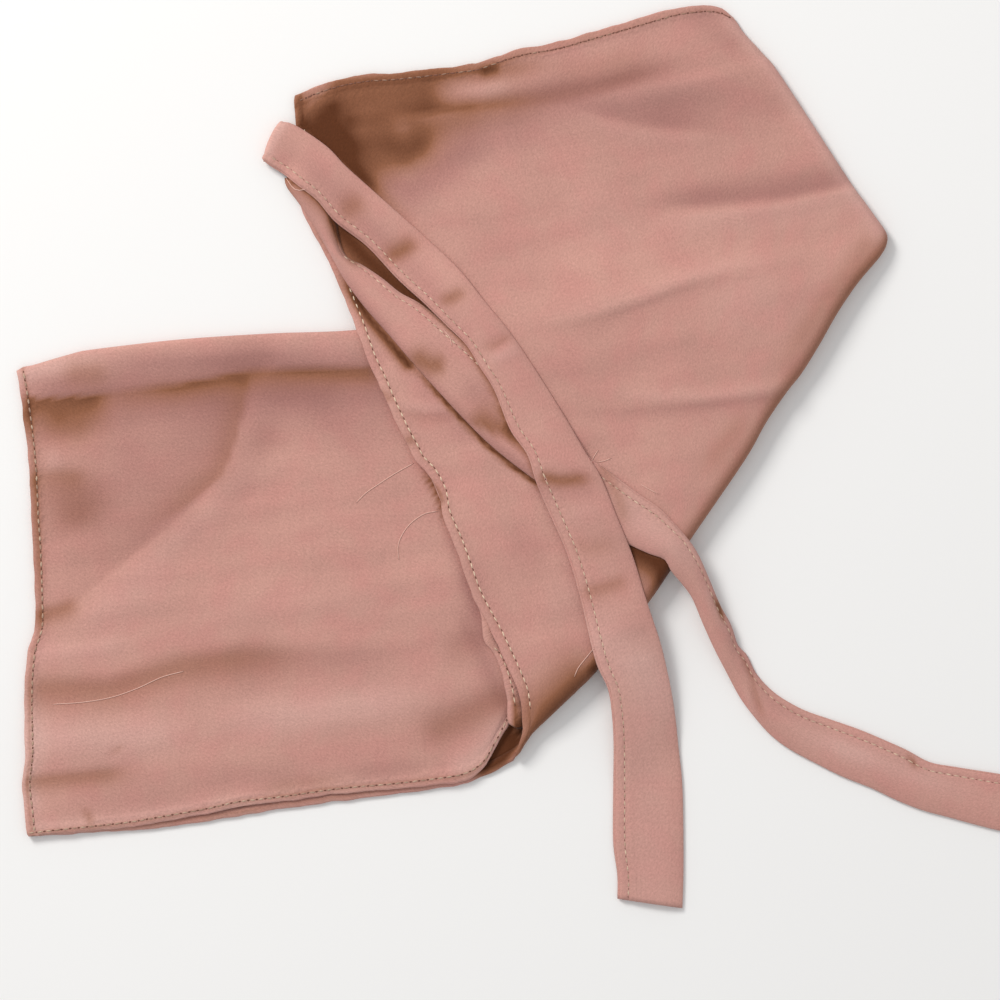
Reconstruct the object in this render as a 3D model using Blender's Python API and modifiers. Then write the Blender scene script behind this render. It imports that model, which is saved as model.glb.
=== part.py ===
"""A half niqab of plain chiffon, folded and laid flat.

The real thing is one hemmed rectangle with a tie sewn to each of its two top corners. Here the
rectangle is folded in half lengthwise and laid down as a strip of two layers. The strip's far part is
then folded over on a diagonal, and the two ties are led back across it.

X runs to the right and Y away from the reader, as seen from above. The cloth rests on Z = 0, and the
origin is the middle of its footprint. Every size below is in millimetres.
"""

import math
from collections import namedtuple

import bmesh
import bpy
from mathutils import Vector
from mathutils.bvhtree import BVHTree

MM = 0.001

# The veil: its wall, the height of the doubled strip, and how far its hems are parted into two layers
CLOTH_WALL = 1.2
STRIP_HEIGHT = 3.6
LAYER_PARTING = 4.5
HEM_ROUND = 0.7
FOLD_ROUND = 4.5
OVER_FOLD_ROUND = 7.0
OVER_PUFF = 1.6
SEAM_GAP = 0.4

# Past the wing's folded edge, the folded-over part slopes down to the floor
SLOPE_START = -6.0
SLOPE_LENGTH = 34.0

# The ties
TIE_THICKNESS = 1.6
TIE_CLEARANCE = 0.4
TIE_TURN_GAP = 0.8
TIE_TURN_ANGLES = (30, 60, 90, 120, 150)

# How far below the floor the room that is cut for the wing reaches
CUT_BELOW_FLOOR = 1.0

# How finely the cloth is divided, how much of a side a fold takes to turn into a hem, and its shading
GRID_STEP = 8.0
TIE_STEP = 5.0
TIE_ACROSS = 4
TIE_REACH = 2
CURVE_STEPS = 12
CORNER_SHARE = 1 / 12
SHARP_ANGLE = 50.0

# Where a tie feels for what lies under it, as shares of its width, and its length in how many samples
TIE_PROBES = [-0.125 + 0.125 * step for step in range(11)]
LENGTH_SAMPLES = 50

# A stretch of cloth has four sides, and two of each are folds
SIDES = ("left", "right", "near", "far")
WING_FOLDED_SIDES = ("right", "far")
OVER_FOLDED_SIDES = ("right", "near")

Point = namedtuple("Point", "x y")
HemPoint = namedtuple("HemPoint", "x y inner_x inner_y")
Fold = namedtuple("Fold", "x0 y0 x1 y1 half_width height")
EdgeRow = namedtuple("EdgeRow", "layer hem_in hem_walls_below_top hem_walls_above_foot turn")
TieRow = namedtuple("TieRow", "left_x left_y right_x right_y")

# The wing: the lower strip, whose top layer shows at the left. Its outline starts at the near left corner.
WING_END_HEM = [
    Point(-199.5, -151.5),
    Point(-203.0, -131.5),
    Point(-201.5, -118.0),
    Point(-202.0, -96.5),
    Point(-201.0, -79.0),
    Point(-198.0, -68.0),
    Point(-198.5, -37.0),
    Point(-200.0, -7.5),
    Point(-203.0, 22.0),
    Point(-205.0, 34.5),
]
WING_FOLDED_EDGE = [
    Point(-205.0, 34.5),
    Point(-178.0, 43.0),
    Point(-140.0, 47.0),
    Point(-68.0, 51.0),
    Point(8.0, 60.0),
    Point(64.0, 68.0),
    Point(106.0, 71.0),
]
# The long hem of each layer. The top layer's stands back from the bottom one's at the fold, as a pocket.
WING_LONG_HEM = [
    HemPoint(-199.5, -151.5, -199.5, -151.0),
    HemPoint(-181.5, -150.5, -181.5, -149.5),
    HemPoint(-151.0, -148.0, -151.0, -147.0),
    HemPoint(-125.0, -144.5, -125.0, -143.0),
    HemPoint(-100.0, -140.0, -100.0, -139.0),
    HemPoint(-76.0, -137.0, -76.0, -135.5),
    HemPoint(-36.0, -131.5, -38.0, -131.0),
    HemPoint(-22.0, -129.0, -27.0, -129.0),
    HemPoint(-6.5, -121.0, -19.0, -124.5),
]
WING_FAR_END = [
    HemPoint(-6.5, -121.0, -19.0, -124.5),
    HemPoint(-2.0, -114.0, -13.5, -115.5),
    HemPoint(2.0, -106.5, -7.5, -106.5),
    HemPoint(8.0, -97.0, 5.0, -96.5),
    HemPoint(24.0, -80.0, 24.0, -80.0),
    HemPoint(60.0, -31.0, 60.0, -31.0),
    HemPoint(82.0, 2.0, 82.0, 2.0),
    HemPoint(103.0, 38.0, 103.0, 38.0),
    HemPoint(106.0, 71.0, 106.0, 71.0),
]
WING_FOLDS = [
    Fold(-198.0, 30.0, -80.0, 44.5, 5.5, 1.5),
    Fold(-200.0, 22.0, -108.0, 34.0, 5.5, -1.3),
    Fold(-108.0, 34.0, -68.0, 33.0, 5.5, -0.9),
    Fold(-100.0, 20.0, -114.0, -6.0, 13.0, 1.5),
    Fold(-114.0, -6.0, -146.0, -38.0, 13.0, 1.5),
    Fold(-146.0, -38.0, -180.0, -60.0, 11.0, 1.2),
    Fold(-150.0, 4.0, -184.0, -30.0, 14.0, -1.0),
    Fold(-196.0, -88.0, -136.0, -84.0, 7.0, -1.2),
    Fold(-136.0, -84.0, -80.0, -82.0, 8.0, -1.0),
    Fold(-190.0, -111.0, -76.0, -104.0, 10.0, 1.3),
    Fold(-196.0, -133.0, -166.0, -127.0, 5.0, -0.9),
    Fold(-52.0, -97.0, -22.0, -98.0, 9.0, -1.1),
    Fold(-26.0, -123.0, -14.0, -112.0, 4.5, 1.2),
    Fold(-72.0, 4.0, -112.0, 0.0, 8.0, 0.9),
    Fold(-60.0, -20.0, -150.0, -30.0, 9.0, -0.8),
]

# The part that is folded over. Its long hem starts at the pocket, and inner is the layer below's.
OVER_LONG_HEM = [
    HemPoint(-4.5, -118.5, -6.5, -113.5),
    HemPoint(-3.0, -110.0, -7.0, -106.0),
    HemPoint(-3.5, -101.0, -8.5, -98.0),
    HemPoint(-5.5, -91.0, -10.0, -89.0),
    HemPoint(-13.0, -74.0, -15.5, -74.0),
    HemPoint(-22.0, -57.0, -21.0, -57.0),
    HemPoint(-30.0, -35.0, -29.0, -35.5),
    HemPoint(-35.0, -23.5, -34.0, -24.0),
    HemPoint(-37.0, -13.0, -36.0, -13.5),
    HemPoint(-47.0, 2.0, -46.0, 1.5),
    HemPoint(-57.0, 22.0, -56.0, 21.5),
    HemPoint(-69.5, 52.5, -68.5, 52.0),
    HemPoint(-80.5, 78.0, -79.5, 77.5),
    HemPoint(-92.0, 103.0, -91.0, 103.0),
    HemPoint(-93.0, 128.0, -94.0, 128.0),
    HemPoint(-93.5, 144.5, -94.5, 142.0),
]
OVER_DIAGONAL_FOLD = [
    HemPoint(-4.5, -118.5, -6.5, -113.5),
    HemPoint(2.0, -109.5, 1.5, -107.0),
    HemPoint(14.5, -97.0, 14.5, -96.0),
    HemPoint(28.0, -84.0, 28.0, -84.0),
    HemPoint(47.0, -58.0, 47.0, -58.0),
    HemPoint(63.0, -34.0, 63.0, -34.0),
    HemPoint(85.5, -1.0, 85.5, -1.0),
    HemPoint(102.5, 26.0, 102.5, 26.0),
    HemPoint(122.5, 57.0, 122.5, 57.0),
    HemPoint(135.0, 74.5, 135.0, 74.5),
    HemPoint(143.0, 87.0, 143.0, 87.0),
]
OVER_END_HEM = [
    HemPoint(-93.5, 144.5, -94.5, 142.0),
    HemPoint(-82.5, 149.0, -82.5, 148.0),
    HemPoint(-52.0, 153.5, -52.0, 153.0),
    HemPoint(-24.0, 157.0, -24.0, 157.5),
    HemPoint(10.5, 165.5, 10.5, 165.0),
    HemPoint(41.0, 174.5, 41.0, 174.0),
    HemPoint(64.0, 180.5, 64.0, 180.0),
    HemPoint(81.0, 177.0, 81.0, 176.5),
]
OVER_FOLDED_EDGE = [
    Point(143.0, 87.0),
    Point(138.0, 95.0),
    Point(127.0, 111.0),
    Point(100.0, 152.5),
    Point(85.5, 169.0),
    Point(81.0, 177.0),
]
OVER_FOLDS = [
    Fold(-76.0, 137.0, -44.0, 110.0, 13.0, -2.2),
    Fold(-68.0, 118.0, -52.0, 96.0, 10.0, -1.2),
    Fold(-76.0, 131.5, -24.0, 135.5, 5.0, 1.1),
    Fold(-24.0, 135.5, 12.0, 139.0, 5.0, 1.3),
    Fold(12.0, 139.0, 68.0, 162.0, 6.0, 1.2),
    Fold(16.0, 141.0, 68.0, 151.0, 5.0, -0.8),
    Fold(44.0, 97.0, 104.0, 102.0, 9.0, -1.1),
    Fold(40.0, 86.0, 108.0, 92.0, 10.0, 1.2),
    Fold(44.0, 66.0, 104.0, 78.0, 8.0, -0.8),
    Fold(40.0, 22.0, 102.0, 27.0, 6.0, 1.3),
    Fold(6.0, 8.0, 40.0, 20.0, 8.0, 1.0),
    Fold(-52.0, 18.5, -30.0, 20.0, 5.0, 1.1),
    Fold(-8.0, -36.0, 14.0, -30.0, 9.0, -1.0),
    Fold(-22.0, -42.0, 0.0, -62.0, 8.0, 0.9),
]

# The ties: each row is a station along a tie, with its two edges. left is the side nearer the wing.
TIE_UPPER = [
    TieRow(-107.0, 119.0, -101.0, 135.0),
    TieRow(-98.5, 113.5, -93.5, 133.0),
    TieRow(-85.0, 103.0, -79.0, 121.0),
    TieRow(-65.0, 85.0, -54.0, 98.5),
    TieRow(-42.0, 62.0, -31.0, 78.0),
    TieRow(-25.0, 45.0, -11.0, 54.0),
    TieRow(-13.5, 27.0, 6.0, 28.5),
    TieRow(-0.5, 1.0, 20.0, 5.0),
    TieRow(9.0, -23.5, 33.5, -23.0),
    TieRow(21.0, -55.5, 45.5, -53.0),
    TieRow(28.0, -83.5, 53.0, -77.0),
    TieRow(33.5, -103.0, 58.0, -103.0),
    TieRow(34.5, -128.0, 61.0, -127.5),
    TieRow(34.5, -154.0, 61.0, -154.0),
    TieRow(36.0, -177.0, 61.0, -180.5),
]
# The end of the upper tie that is sewn to the veil's corner, up to where it turns back over itself.
TIE_UPPER_END = [
    TieRow(-95.0, 115.0, -94.8, 132.0),
    TieRow(-101.0, 117.0, -98.0, 133.5),
    TieRow(-107.0, 119.0, -101.0, 135.0),
]
TIE_LOWER = [
    TieRow(-98.0, 111.0, -84.0, 112.0),
    TieRow(-97.0, 107.0, -83.0, 104.0),
    TieRow(-91.0, 100.0, -79.5, 97.0),
    TieRow(-83.0, 85.5, -76.5, 85.5),
    TieRow(-73.0, 70.5, -66.0, 77.0),
    TieRow(-59.0, 51.0, -52.0, 65.5),
    TieRow(-44.0, 34.5, -30.0, 51.0),
    TieRow(-29.5, 19.0, -14.0, 35.0),
    TieRow(-12.0, 3.0, 3.0, 17.0),
    TieRow(12.0, -17.0, 25.5, -3.0),
    TieRow(37.5, -34.0, 51.0, -21.0),
    TieRow(54.0, -43.0, 66.0, -38.0),
    TieRow(65.0, -56.5, 76.0, -60.0),
    TieRow(77.0, -83.0, 85.5, -80.0),
    TieRow(88.5, -102.0, 99.0, -96.5),
    TieRow(100.0, -114.0, 117.0, -105.0),
    TieRow(122.5, -126.5, 136.0, -111.0),
    TieRow(156.0, -141.0, 159.5, -122.0),
    TieRow(187.0, -149.0, 189.0, -128.0),
    TieRow(202.0, -152.5, 205.0, -131.5),
]

# How an open edge or a folded edge goes down from the top surface to the floor, a row for each ring.
# hem_in is how far a ring stands in from its layer's edge. turn is the angle reached round a fold.
# LAYER_SHARES says where between the top and the bottom layer's outline a ring lies.
LAYER_SHARES = {"top": 0.0, "both": 0.5, "bottom": 1.0}
EDGE_ROWS = [
    EdgeRow("top", 0.0, 0.35, None, 60.0),
    EdgeRow("top", 0.3, 1.0, None, 30.0),
    EdgeRow("both", LAYER_PARTING, 1.25, None, 0.0),
    EdgeRow("bottom", 0.3, None, 1.0, -30.0),
    EdgeRow("bottom", 0.0, None, 0.4, -55.0),
    EdgeRow("bottom", 0.3, None, 0.0, -75.0),
]


def clear_scene():
    for obj in list(bpy.data.objects):
        bpy.data.objects.remove(obj)


def new_collection(name):
    made = bpy.data.collections.new(name)
    bpy.context.scene.collection.children.link(made)
    return made


def cloth_material(name, colour):
    material = bpy.data.materials.new(name)
    material.use_nodes = True
    shader = material.node_tree.nodes["Principled BSDF"]
    shader.inputs["Base Color"].default_value = (*colour, 1.0)
    shader.inputs["Roughness"].default_value = 0.9
    shader.inputs["Metallic"].default_value = 0.0
    return material


def smooth_curve(points):
    """A curve through the points, as a function of the share of its length. It runs on straight past its ends."""
    ends = [points[0] * 2 - points[1], *points, points[-1] * 2 - points[-2]]
    dense = []
    for before, start, stop, after in zip(ends, ends[1:], ends[2:], ends[3:]):
        for step in range(CURVE_STEPS):
            t = step / CURVE_STEPS
            leave = (stop - before) / 2
            arrive = (after - start) / 2
            dense.append(
                start * (2 * t**3 - 3 * t**2 + 1)
                + leave * (t**3 - 2 * t**2 + t)
                + stop * (3 * t**2 - 2 * t**3)
                + arrive * (t**3 - t**2)
            )
    dense.append(points[-1])
    reached = [0.0]
    for start, stop in zip(dense, dense[1:]):
        reached.append(reached[-1] + (stop - start).length)

    def at(share):
        wanted = share * reached[-1]
        low, high = 0, len(reached) - 1
        while high - low > 1:
            middle = (low + high) // 2
            if reached[middle] <= wanted:
                low = middle
            else:
                high = middle
        span = reached[high] - reached[low]
        return dense[low].lerp(dense[high], (wanted - reached[low]) / span)

    return at


def edge_curve(rows, inner=False):
    """The smooth edge through a table's points: its own, or those of the layer on the inside of the fold."""
    if inner:
        rows = [Point(row.inner_x, row.inner_y) for row in rows]
    return smooth_curve([Vector((row.x, row.y)) for row in rows])


class Outline:
    """A four-sided piece of cloth: near and far run left to right, start and end run near to far."""

    def __init__(self, near, far, start, end):
        self.near, self.far, self.start, self.end = near, far, start, end
        self.width = ((near(1) - near(0)).length + (far(1) - far(0)).length) / 2
        self.depth = ((start(1) - start(0)).length + (end(1) - end(0)).length) / 2

    def at(self, u, v):
        """The point at the shares u across and v along, blended from the four edges."""
        corners = (
            self.near(0).lerp(self.near(1), u) * (1 - v) + self.far(0).lerp(self.far(1), u) * v
        )
        across = self.near(u).lerp(self.far(u), v)
        along = self.start(v).lerp(self.end(v), u)
        return across + along - corners

    def inset(self, u, v, left, right, near, far):
        """The point when the outline has moved in by these distances on its four sides."""
        low_u, high_u = left / self.width, 1 - right / self.width
        low_v, high_v = near / self.depth, 1 - far / self.depth
        return self.at(low_u + u * (high_u - low_u), low_v + v * (high_v - low_v))


def relief(folds, x, y):
    """How far the folds and hollows of the cloth lift its surface at this point."""
    lift = 0.0
    for fold in folds:
        run = Vector((fold.x1 - fold.x0, fold.y1 - fold.y0))
        offset = Vector((x - fold.x0, y - fold.y0))
        share = min(max(offset.dot(run) / run.length_squared, 0.0), 1.0)
        away = (offset - run * share).length / fold.half_width
        lift += fold.height * math.exp(-(away**2))
    return lift


def ease(share):
    share = min(max(share, 0.0), 1.0)
    return share * share * (3 - 2 * share)


def wing_top(x, y):
    return STRIP_HEIGHT + relief(WING_FOLDS, x, y)


def fold_line_y(x):
    """Where the wing's folded edge lies on its hidden way under the rest."""
    for start, stop in zip(WING_FOLDED_EDGE, WING_FOLDED_EDGE[1:]):
        if x <= stop.x:
            return start.y + (stop.y - start.y) * (x - start.x) / (stop.x - start.x)
    return WING_FOLDED_EDGE[-1].y


def carried(x, y):
    """1 where the wing carries the folded-over part, easing to 0 where that part has come down to the floor."""
    past_fold = y - fold_line_y(x)
    return 1 - ease((past_fold - SLOPE_START) / SLOPE_LENGTH)


def over_base(x, y):
    return (wing_top(x, y) + SEAM_GAP) * carried(x, y)


def over_top(x, y):
    return over_base(x, y) + STRIP_HEIGHT + OVER_PUFF * carried(x, y) + relief(OVER_FOLDS, x, y)


def ring_height(row, top, foot_height, fold_share):
    """The height of a ring of the edge, between its form at an open hem and at a fold."""
    if row.hem_walls_below_top is not None:
        hem = top - row.hem_walls_below_top * CLOTH_WALL
    else:
        hem = foot_height + row.hem_walls_above_foot * CLOTH_WALL
    if row is EDGE_ROWS[-1]:
        return 0.0
    middle = top / 2
    fold = middle + middle * math.sin(math.radians(row.turn))
    return hem + (fold - hem) * fold_share


def top_grid(top_layer, top_height, round_in):
    """The top surface of a stretch of cloth as a grid, and the two layers that hold each point's shares."""
    mesh = bmesh.new()
    shares = mesh.verts.layers.float.new("u"), mesh.verts.layers.float.new("v")
    bmesh.ops.create_grid(
        mesh,
        x_segments=round(top_layer.width / GRID_STEP),
        y_segments=round(top_layer.depth / GRID_STEP),
        size=0.5,
    )
    for vert in mesh.verts:
        u, v = vert.co.x + 0.5, vert.co.y + 0.5
        vert[shares[0]], vert[shares[1]] = u, v
        place = top_layer.inset(u, v, *round_in)
        vert.co = Vector((*place, top_height(*place))) * MM
    return mesh, shares


def next_ring(mesh, shares, rim, place_of):
    """Extrudes the rim of the cloth once, and puts each of its points where place_of says."""
    grown = bmesh.ops.extrude_edge_only(mesh, edges=rim)["geom"]
    rim = [item for item in grown if isinstance(item, bmesh.types.BMEdge) and item.is_boundary]
    for vert in {vert for edge in rim for vert in edge.verts}:
        vert.co = Vector(place_of(vert[shares[0]], vert[shares[1]])) * MM
    return rim


def closed_mesh(mesh, name, rim):
    """Closes the floor of the cloth, and turns it into a mesh with its faces pointing out."""
    bmesh.ops.contextual_create(mesh, geom=rim)
    bmesh.ops.recalc_face_normals(mesh, faces=mesh.faces[:])
    data = bpy.data.meshes.new(name)
    mesh.to_mesh(data)
    mesh.free()
    return data


def rim_insets(folded_sides, fold_round):
    return [fold_round if side in folded_sides else HEM_ROUND for side in SIDES]


def layered_cloth(name, layers, top_height, foot_height, folded_sides, fold_round):
    """A doubled stretch of cloth as one rounded body, parted into its two layers along its open hems.

    layers holds the outline of the top and of the bottom layer, and folded_sides names the sides that
    are folds. The top surface is a grid, whose rim is extruded down ring by ring to the floor.
    """
    top_layer, bottom_layer = layers
    round_in = rim_insets(folded_sides, fold_round)
    mesh, shares = top_grid(top_layer, top_height, round_in)

    def fold_share(u, v):
        """1 on a folded side and 0 on a hem, turning from one to the other near a corner."""
        nearness = {"left": u, "right": 1 - u, "near": v, "far": 1 - v}
        return 1 - ease(min(nearness[side] for side in folded_sides) / CORNER_SHARE)

    rim = [edge for edge in mesh.edges if edge.is_boundary]
    for row in EDGE_ROWS:
        turned_in = fold_round * (1 - math.cos(math.radians(row.turn)))
        insets = [turned_in if side in folded_sides else row.hem_in for side in SIDES]

        def place_of(u, v):
            top_place = top_layer.inset(u, v, *insets)
            bottom_place = bottom_layer.inset(u, v, *insets)
            place = top_place.lerp(bottom_place, LAYER_SHARES[row.layer])
            rim_top = top_height(*top_layer.inset(u, v, *round_in))
            height = ring_height(row, rim_top, foot_height(*place), fold_share(u, v))
            return (*place, height)

        rim = next_ring(mesh, shares, rim, place_of)
    data = closed_mesh(mesh, name, rim)
    data.shade_smooth()
    data.set_sharp_from_angle(angle=math.radians(SHARP_ANGLE))
    return bpy.data.objects.new(name, data)


def room_for(name, layers, top_height, folded_sides, fold_round):
    """The room that a doubled stretch of cloth takes up, with a gap above it and all round."""
    top_layer, bottom_layer = layers
    round_in = rim_insets(folded_sides, fold_round)
    mesh, shares = top_grid(top_layer, lambda x, y: top_height(x, y) + SEAM_GAP, round_in)

    def wall_top(u, v):
        place = bottom_layer.inset(u, v, *[-SEAM_GAP for side in SIDES])
        return (*place, top_height(*top_layer.inset(u, v, *round_in)) + SEAM_GAP)

    def wall_foot(u, v):
        x, y, height = wall_top(u, v)
        return (x, y, -CUT_BELOW_FLOOR)

    rim = [edge for edge in mesh.edges if edge.is_boundary]
    for place_of in (wall_top, wall_foot):
        rim = next_ring(mesh, shares, rim, place_of)
    room = bpy.data.objects.new(name, closed_mesh(mesh, name, rim))
    room.hide_render = True
    room.display_type = "WIRE"
    return room


def wing_layers():
    """The outlines of the wing's top and bottom layer. The top one is on the inside of the fold."""
    return [
        Outline(
            near=edge_curve(WING_LONG_HEM, inner),
            far=edge_curve(WING_FOLDED_EDGE),
            start=edge_curve(WING_END_HEM),
            end=edge_curve(WING_FAR_END, inner),
        )
        for inner in (True, False)
    ]


def over_layers():
    """The outlines of the folded-over part's top and bottom layer."""
    return [
        Outline(
            near=edge_curve(OVER_DIAGONAL_FOLD, inner),
            far=edge_curve(OVER_END_HEM, inner),
            start=edge_curve(OVER_LONG_HEM, inner),
            end=edge_curve(OVER_FOLDED_EDGE),
        )
        for inner in (False, True)
    ]


def build_wing(collection, cutters, material):
    """The wing, and the room for it that is cut from what is folded over it."""
    wing = layered_cloth(
        "veil_wing", wing_layers(), wing_top, lambda x, y: 0.0, WING_FOLDED_SIDES, FOLD_ROUND
    )
    wing.data.materials.append(material)
    collection.objects.link(wing)
    room = room_for("room_for_wing", wing_layers(), wing_top, WING_FOLDED_SIDES, FOLD_ROUND)
    cutters.objects.link(room)
    return wing, room


def build_over(collection, material, room):
    over = layered_cloth(
        "veil_over", over_layers(), over_top, over_base, OVER_FOLDED_SIDES, OVER_FOLD_ROUND
    )
    over.data.materials.append(material)
    collection.objects.link(over)
    cut = over.modifiers.new("room for the wing", "BOOLEAN")
    cut.operation = "DIFFERENCE"
    cut.object = room
    cut.use_self = True
    return over


def top_of(objects, x, y):
    """The height of the highest of these objects above a point of the floor, or None beside them all."""
    found = [
        hit.z / MM
        for tree in objects
        if (hit := tree.ray_cast(Vector((x * MM, y * MM, 1.0)), Vector((0, 0, -1)))[0])
    ]
    return max(found, default=None)


def laid_stations(rows, trees):
    """Where a tie's two edges lie when it is laid on these bodies: pairs of points, one pair a station."""
    left = smooth_curve([Vector((row.left_x, row.left_y)) for row in rows])
    right = smooth_curve([Vector((row.right_x, row.right_y)) for row in rows])
    samples = [left(i / LENGTH_SAMPLES) for i in range(LENGTH_SAMPLES + 1)]
    length = sum((after - before).length for before, after in zip(samples, samples[1:]))
    count = round(length / TIE_STEP)
    edges = [(left(i / count), right(i / count)) for i in range(count + 1)]
    under = []
    for near, far in edges:
        tops = [top_of(trees, *near.lerp(far, share)) for share in TIE_PROBES]
        under.append(max((top + TIE_CLEARANCE for top in tops if top is not None), default=0.0))
    held = [max(under[max(i - TIE_REACH, 0) : i + TIE_REACH + 1]) for i in range(count + 1)]
    stations = []
    for i, (near, far) in enumerate(edges):
        span = held[max(i - TIE_REACH, 0) : i + TIE_REACH + 1]
        height = sum(span) / len(span)
        stations.append((Vector((*near, height)), Vector((*far, height))))
    return stations


def turned_back(first, end_rows):
    """The start of a tie that is turned back under itself: its hidden end on the floor, then the turn."""
    inner = TIE_TURN_GAP / 2
    level = TIE_THICKNESS
    under = [
        (Vector((row.left_x, row.left_y, level)), Vector((row.right_x, row.right_y, level)))
        for row in end_rows
    ]
    along = ((under[-1][0] + under[-1][1]) - (under[0][0] + under[0][1])).normalized()
    turn = []
    for angle in TIE_TURN_ANGLES:
        out = along * inner * math.sin(math.radians(angle))
        up = Vector((0, 0, inner * (1 - math.cos(math.radians(angle)))))
        turn.append(tuple(point + out + up for point in under[-1]))
    upper = [tuple(point + Vector((0, 0, 2 * inner)) for point in under[-1])]
    return under + turn + upper


def strip(name, stations, material, collection):
    """A flat strip of cloth through pairs of edge points, thickened upwards from its lower face."""
    mesh = bmesh.new()
    bmesh.ops.create_grid(mesh, x_segments=len(stations) - 1, y_segments=TIE_ACROSS, size=0.5)
    for vert in mesh.verts:
        near, far = stations[round((vert.co.x + 0.5) * (len(stations) - 1))]
        vert.co = near.lerp(far, vert.co.y + 0.5) * MM
    data = bpy.data.meshes.new(name)
    mesh.to_mesh(data)
    mesh.free()
    data.materials.append(material)
    data.shade_smooth()
    tie = bpy.data.objects.new(name, data)
    wall = tie.modifiers.new("cloth", "SOLIDIFY")
    wall.thickness = TIE_THICKNESS * MM
    wall.offset = 1.0
    collection.objects.link(tie)
    return tie


def tree_of(*objects):
    graph = bpy.context.evaluated_depsgraph_get()
    return [BVHTree.FromObject(obj, graph) for obj in objects]


def build_niqab():
    clear_scene()
    niqab, cutters = new_collection("niqab"), new_collection("cutters")
    chiffon = cloth_material("veil_chiffon", (0.58, 0.30, 0.25))
    tie_cloth = cloth_material("tie_chiffon", (0.60, 0.31, 0.26))
    wing, room = build_wing(niqab, cutters, chiffon)
    over = build_over(niqab, chiffon, room)
    lower = strip("tie_lower", laid_stations(TIE_LOWER, tree_of(wing, over)), tie_cloth, niqab)
    upper = laid_stations(TIE_UPPER, tree_of(wing, over, lower))
    strip("tie_upper", turned_back(upper[0], TIE_UPPER_END) + upper[1:], tie_cloth, niqab)


build_niqab()
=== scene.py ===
# %% [markdown]
# # A half niqab of plain chiffon, folded and laid flat
# The real one is a hemmed rectangle of thin cloth with a tie sewn to each top corner. Here it is folded in
# half lengthwise, the doubled strip is folded over on a diagonal, and the two ties are led back across it.
# The imported solids already hold the form. This script lays thin cloth where they are, with its creases,
# hems, stitches and weave, so it starts by loading them.

# %% Load the imported solids
import math
import random
from collections import namedtuple

import bmesh
import bpy
import numpy as np
from mathutils import Matrix, Vector, noise
from mathutils.bvhtree import BVHTree


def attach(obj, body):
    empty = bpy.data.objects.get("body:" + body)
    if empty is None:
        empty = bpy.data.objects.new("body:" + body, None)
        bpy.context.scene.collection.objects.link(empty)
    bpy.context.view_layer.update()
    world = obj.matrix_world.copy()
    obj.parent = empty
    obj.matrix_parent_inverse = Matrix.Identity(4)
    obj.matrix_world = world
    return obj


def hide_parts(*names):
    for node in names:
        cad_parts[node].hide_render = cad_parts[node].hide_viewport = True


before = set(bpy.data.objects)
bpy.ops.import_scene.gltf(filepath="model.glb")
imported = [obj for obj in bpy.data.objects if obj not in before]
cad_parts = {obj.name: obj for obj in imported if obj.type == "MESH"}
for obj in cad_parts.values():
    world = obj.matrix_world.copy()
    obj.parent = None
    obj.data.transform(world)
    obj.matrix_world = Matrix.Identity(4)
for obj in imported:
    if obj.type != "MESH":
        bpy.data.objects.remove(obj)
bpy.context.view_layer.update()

MM = 0.001

# %% [markdown]
# ## From the photograph to the floor
# The photograph looks straight down, so a picture point and a floor point differ only by a scale and a
# shift. Every outline below is written in picture points, and `laid` turns them into millimetres.

# %% Picture points on the floor
PICTURE_MIDDLE = (530.0, 457.0)
PICTURE_SCALE = 0.4


def laid(*points):
    """Floor places in millimetres for points of the picture."""
    points = np.array(points, float)
    across = (points[:, 0] - PICTURE_MIDDLE[0]) * PICTURE_SCALE
    away = (PICTURE_MIDDLE[1] - points[:, 1]) * PICTURE_SCALE
    return np.stack([across, away], 1)


print("the picture's upper left corner is at", laid((0, 0))[0], "mm")

# %% [markdown]
# ## Edges as smooth curves
# A folded or hemmed edge of thin cloth bends gently. So an edge is written as a few points, a curve is led
# through them, and a place on it is asked for by the share of its length, which pairs opposite edges evenly.

# %% A curve through points
PIECES_PER_SPAN = 12


def smooth_curve(points):
    """A curve through the points by the share of its length. It runs on straight past its ends."""
    ends = np.vstack([2 * points[0] - points[1], points, 2 * points[-1] - points[-2]])
    t = np.linspace(0, 1, PIECES_PER_SPAN, endpoint=False)[:, None]
    dense = []
    for before, start, stop, after in zip(ends, ends[1:], ends[2:], ends[3:]):
        leave, arrive = (stop - before) / 2, (after - start) / 2
        dense.append(
            start * (2 * t**3 - 3 * t**2 + 1)
            + leave * (t**3 - 2 * t**2 + t)
            + stop * (3 * t**2 - 2 * t**3)
            + arrive * (t**3 - t**2)
        )
    dense = np.vstack([*dense, points[-1:]])
    steps = np.linalg.norm(np.diff(dense, axis=0), axis=1)
    reached = np.concatenate([[0.0], np.cumsum(steps)])
    first, last = (dense[0] - dense[1]) / steps[0], (dense[-1] - dense[-2]) / steps[-1]

    def at(share):
        wanted = np.asarray(share, float) * reached[-1]
        found = np.stack([np.interp(wanted, reached, dense[:, axis]) for axis in (0, 1)], -1)
        before = np.maximum(-wanted, 0.0)[..., None]
        beyond = np.maximum(wanted - reached[-1], 0.0)[..., None]
        return found + before * first + beyond * last

    at.length = reached[-1]
    return at


# %% [markdown]
# ## The four sides of a layer
# A doubled stretch of cloth has four sides: an open long hem, a fold opposite it, a hemmed end, and the
# diagonal where it turns over. The two layers share the fold but their hems part a little, so each layer
# gets an outline of its own, blended between its four sides.

# %% An outline of four sides
PROBE_STEP = 0.03
PROBE_DEPTH = 0.04


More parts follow.
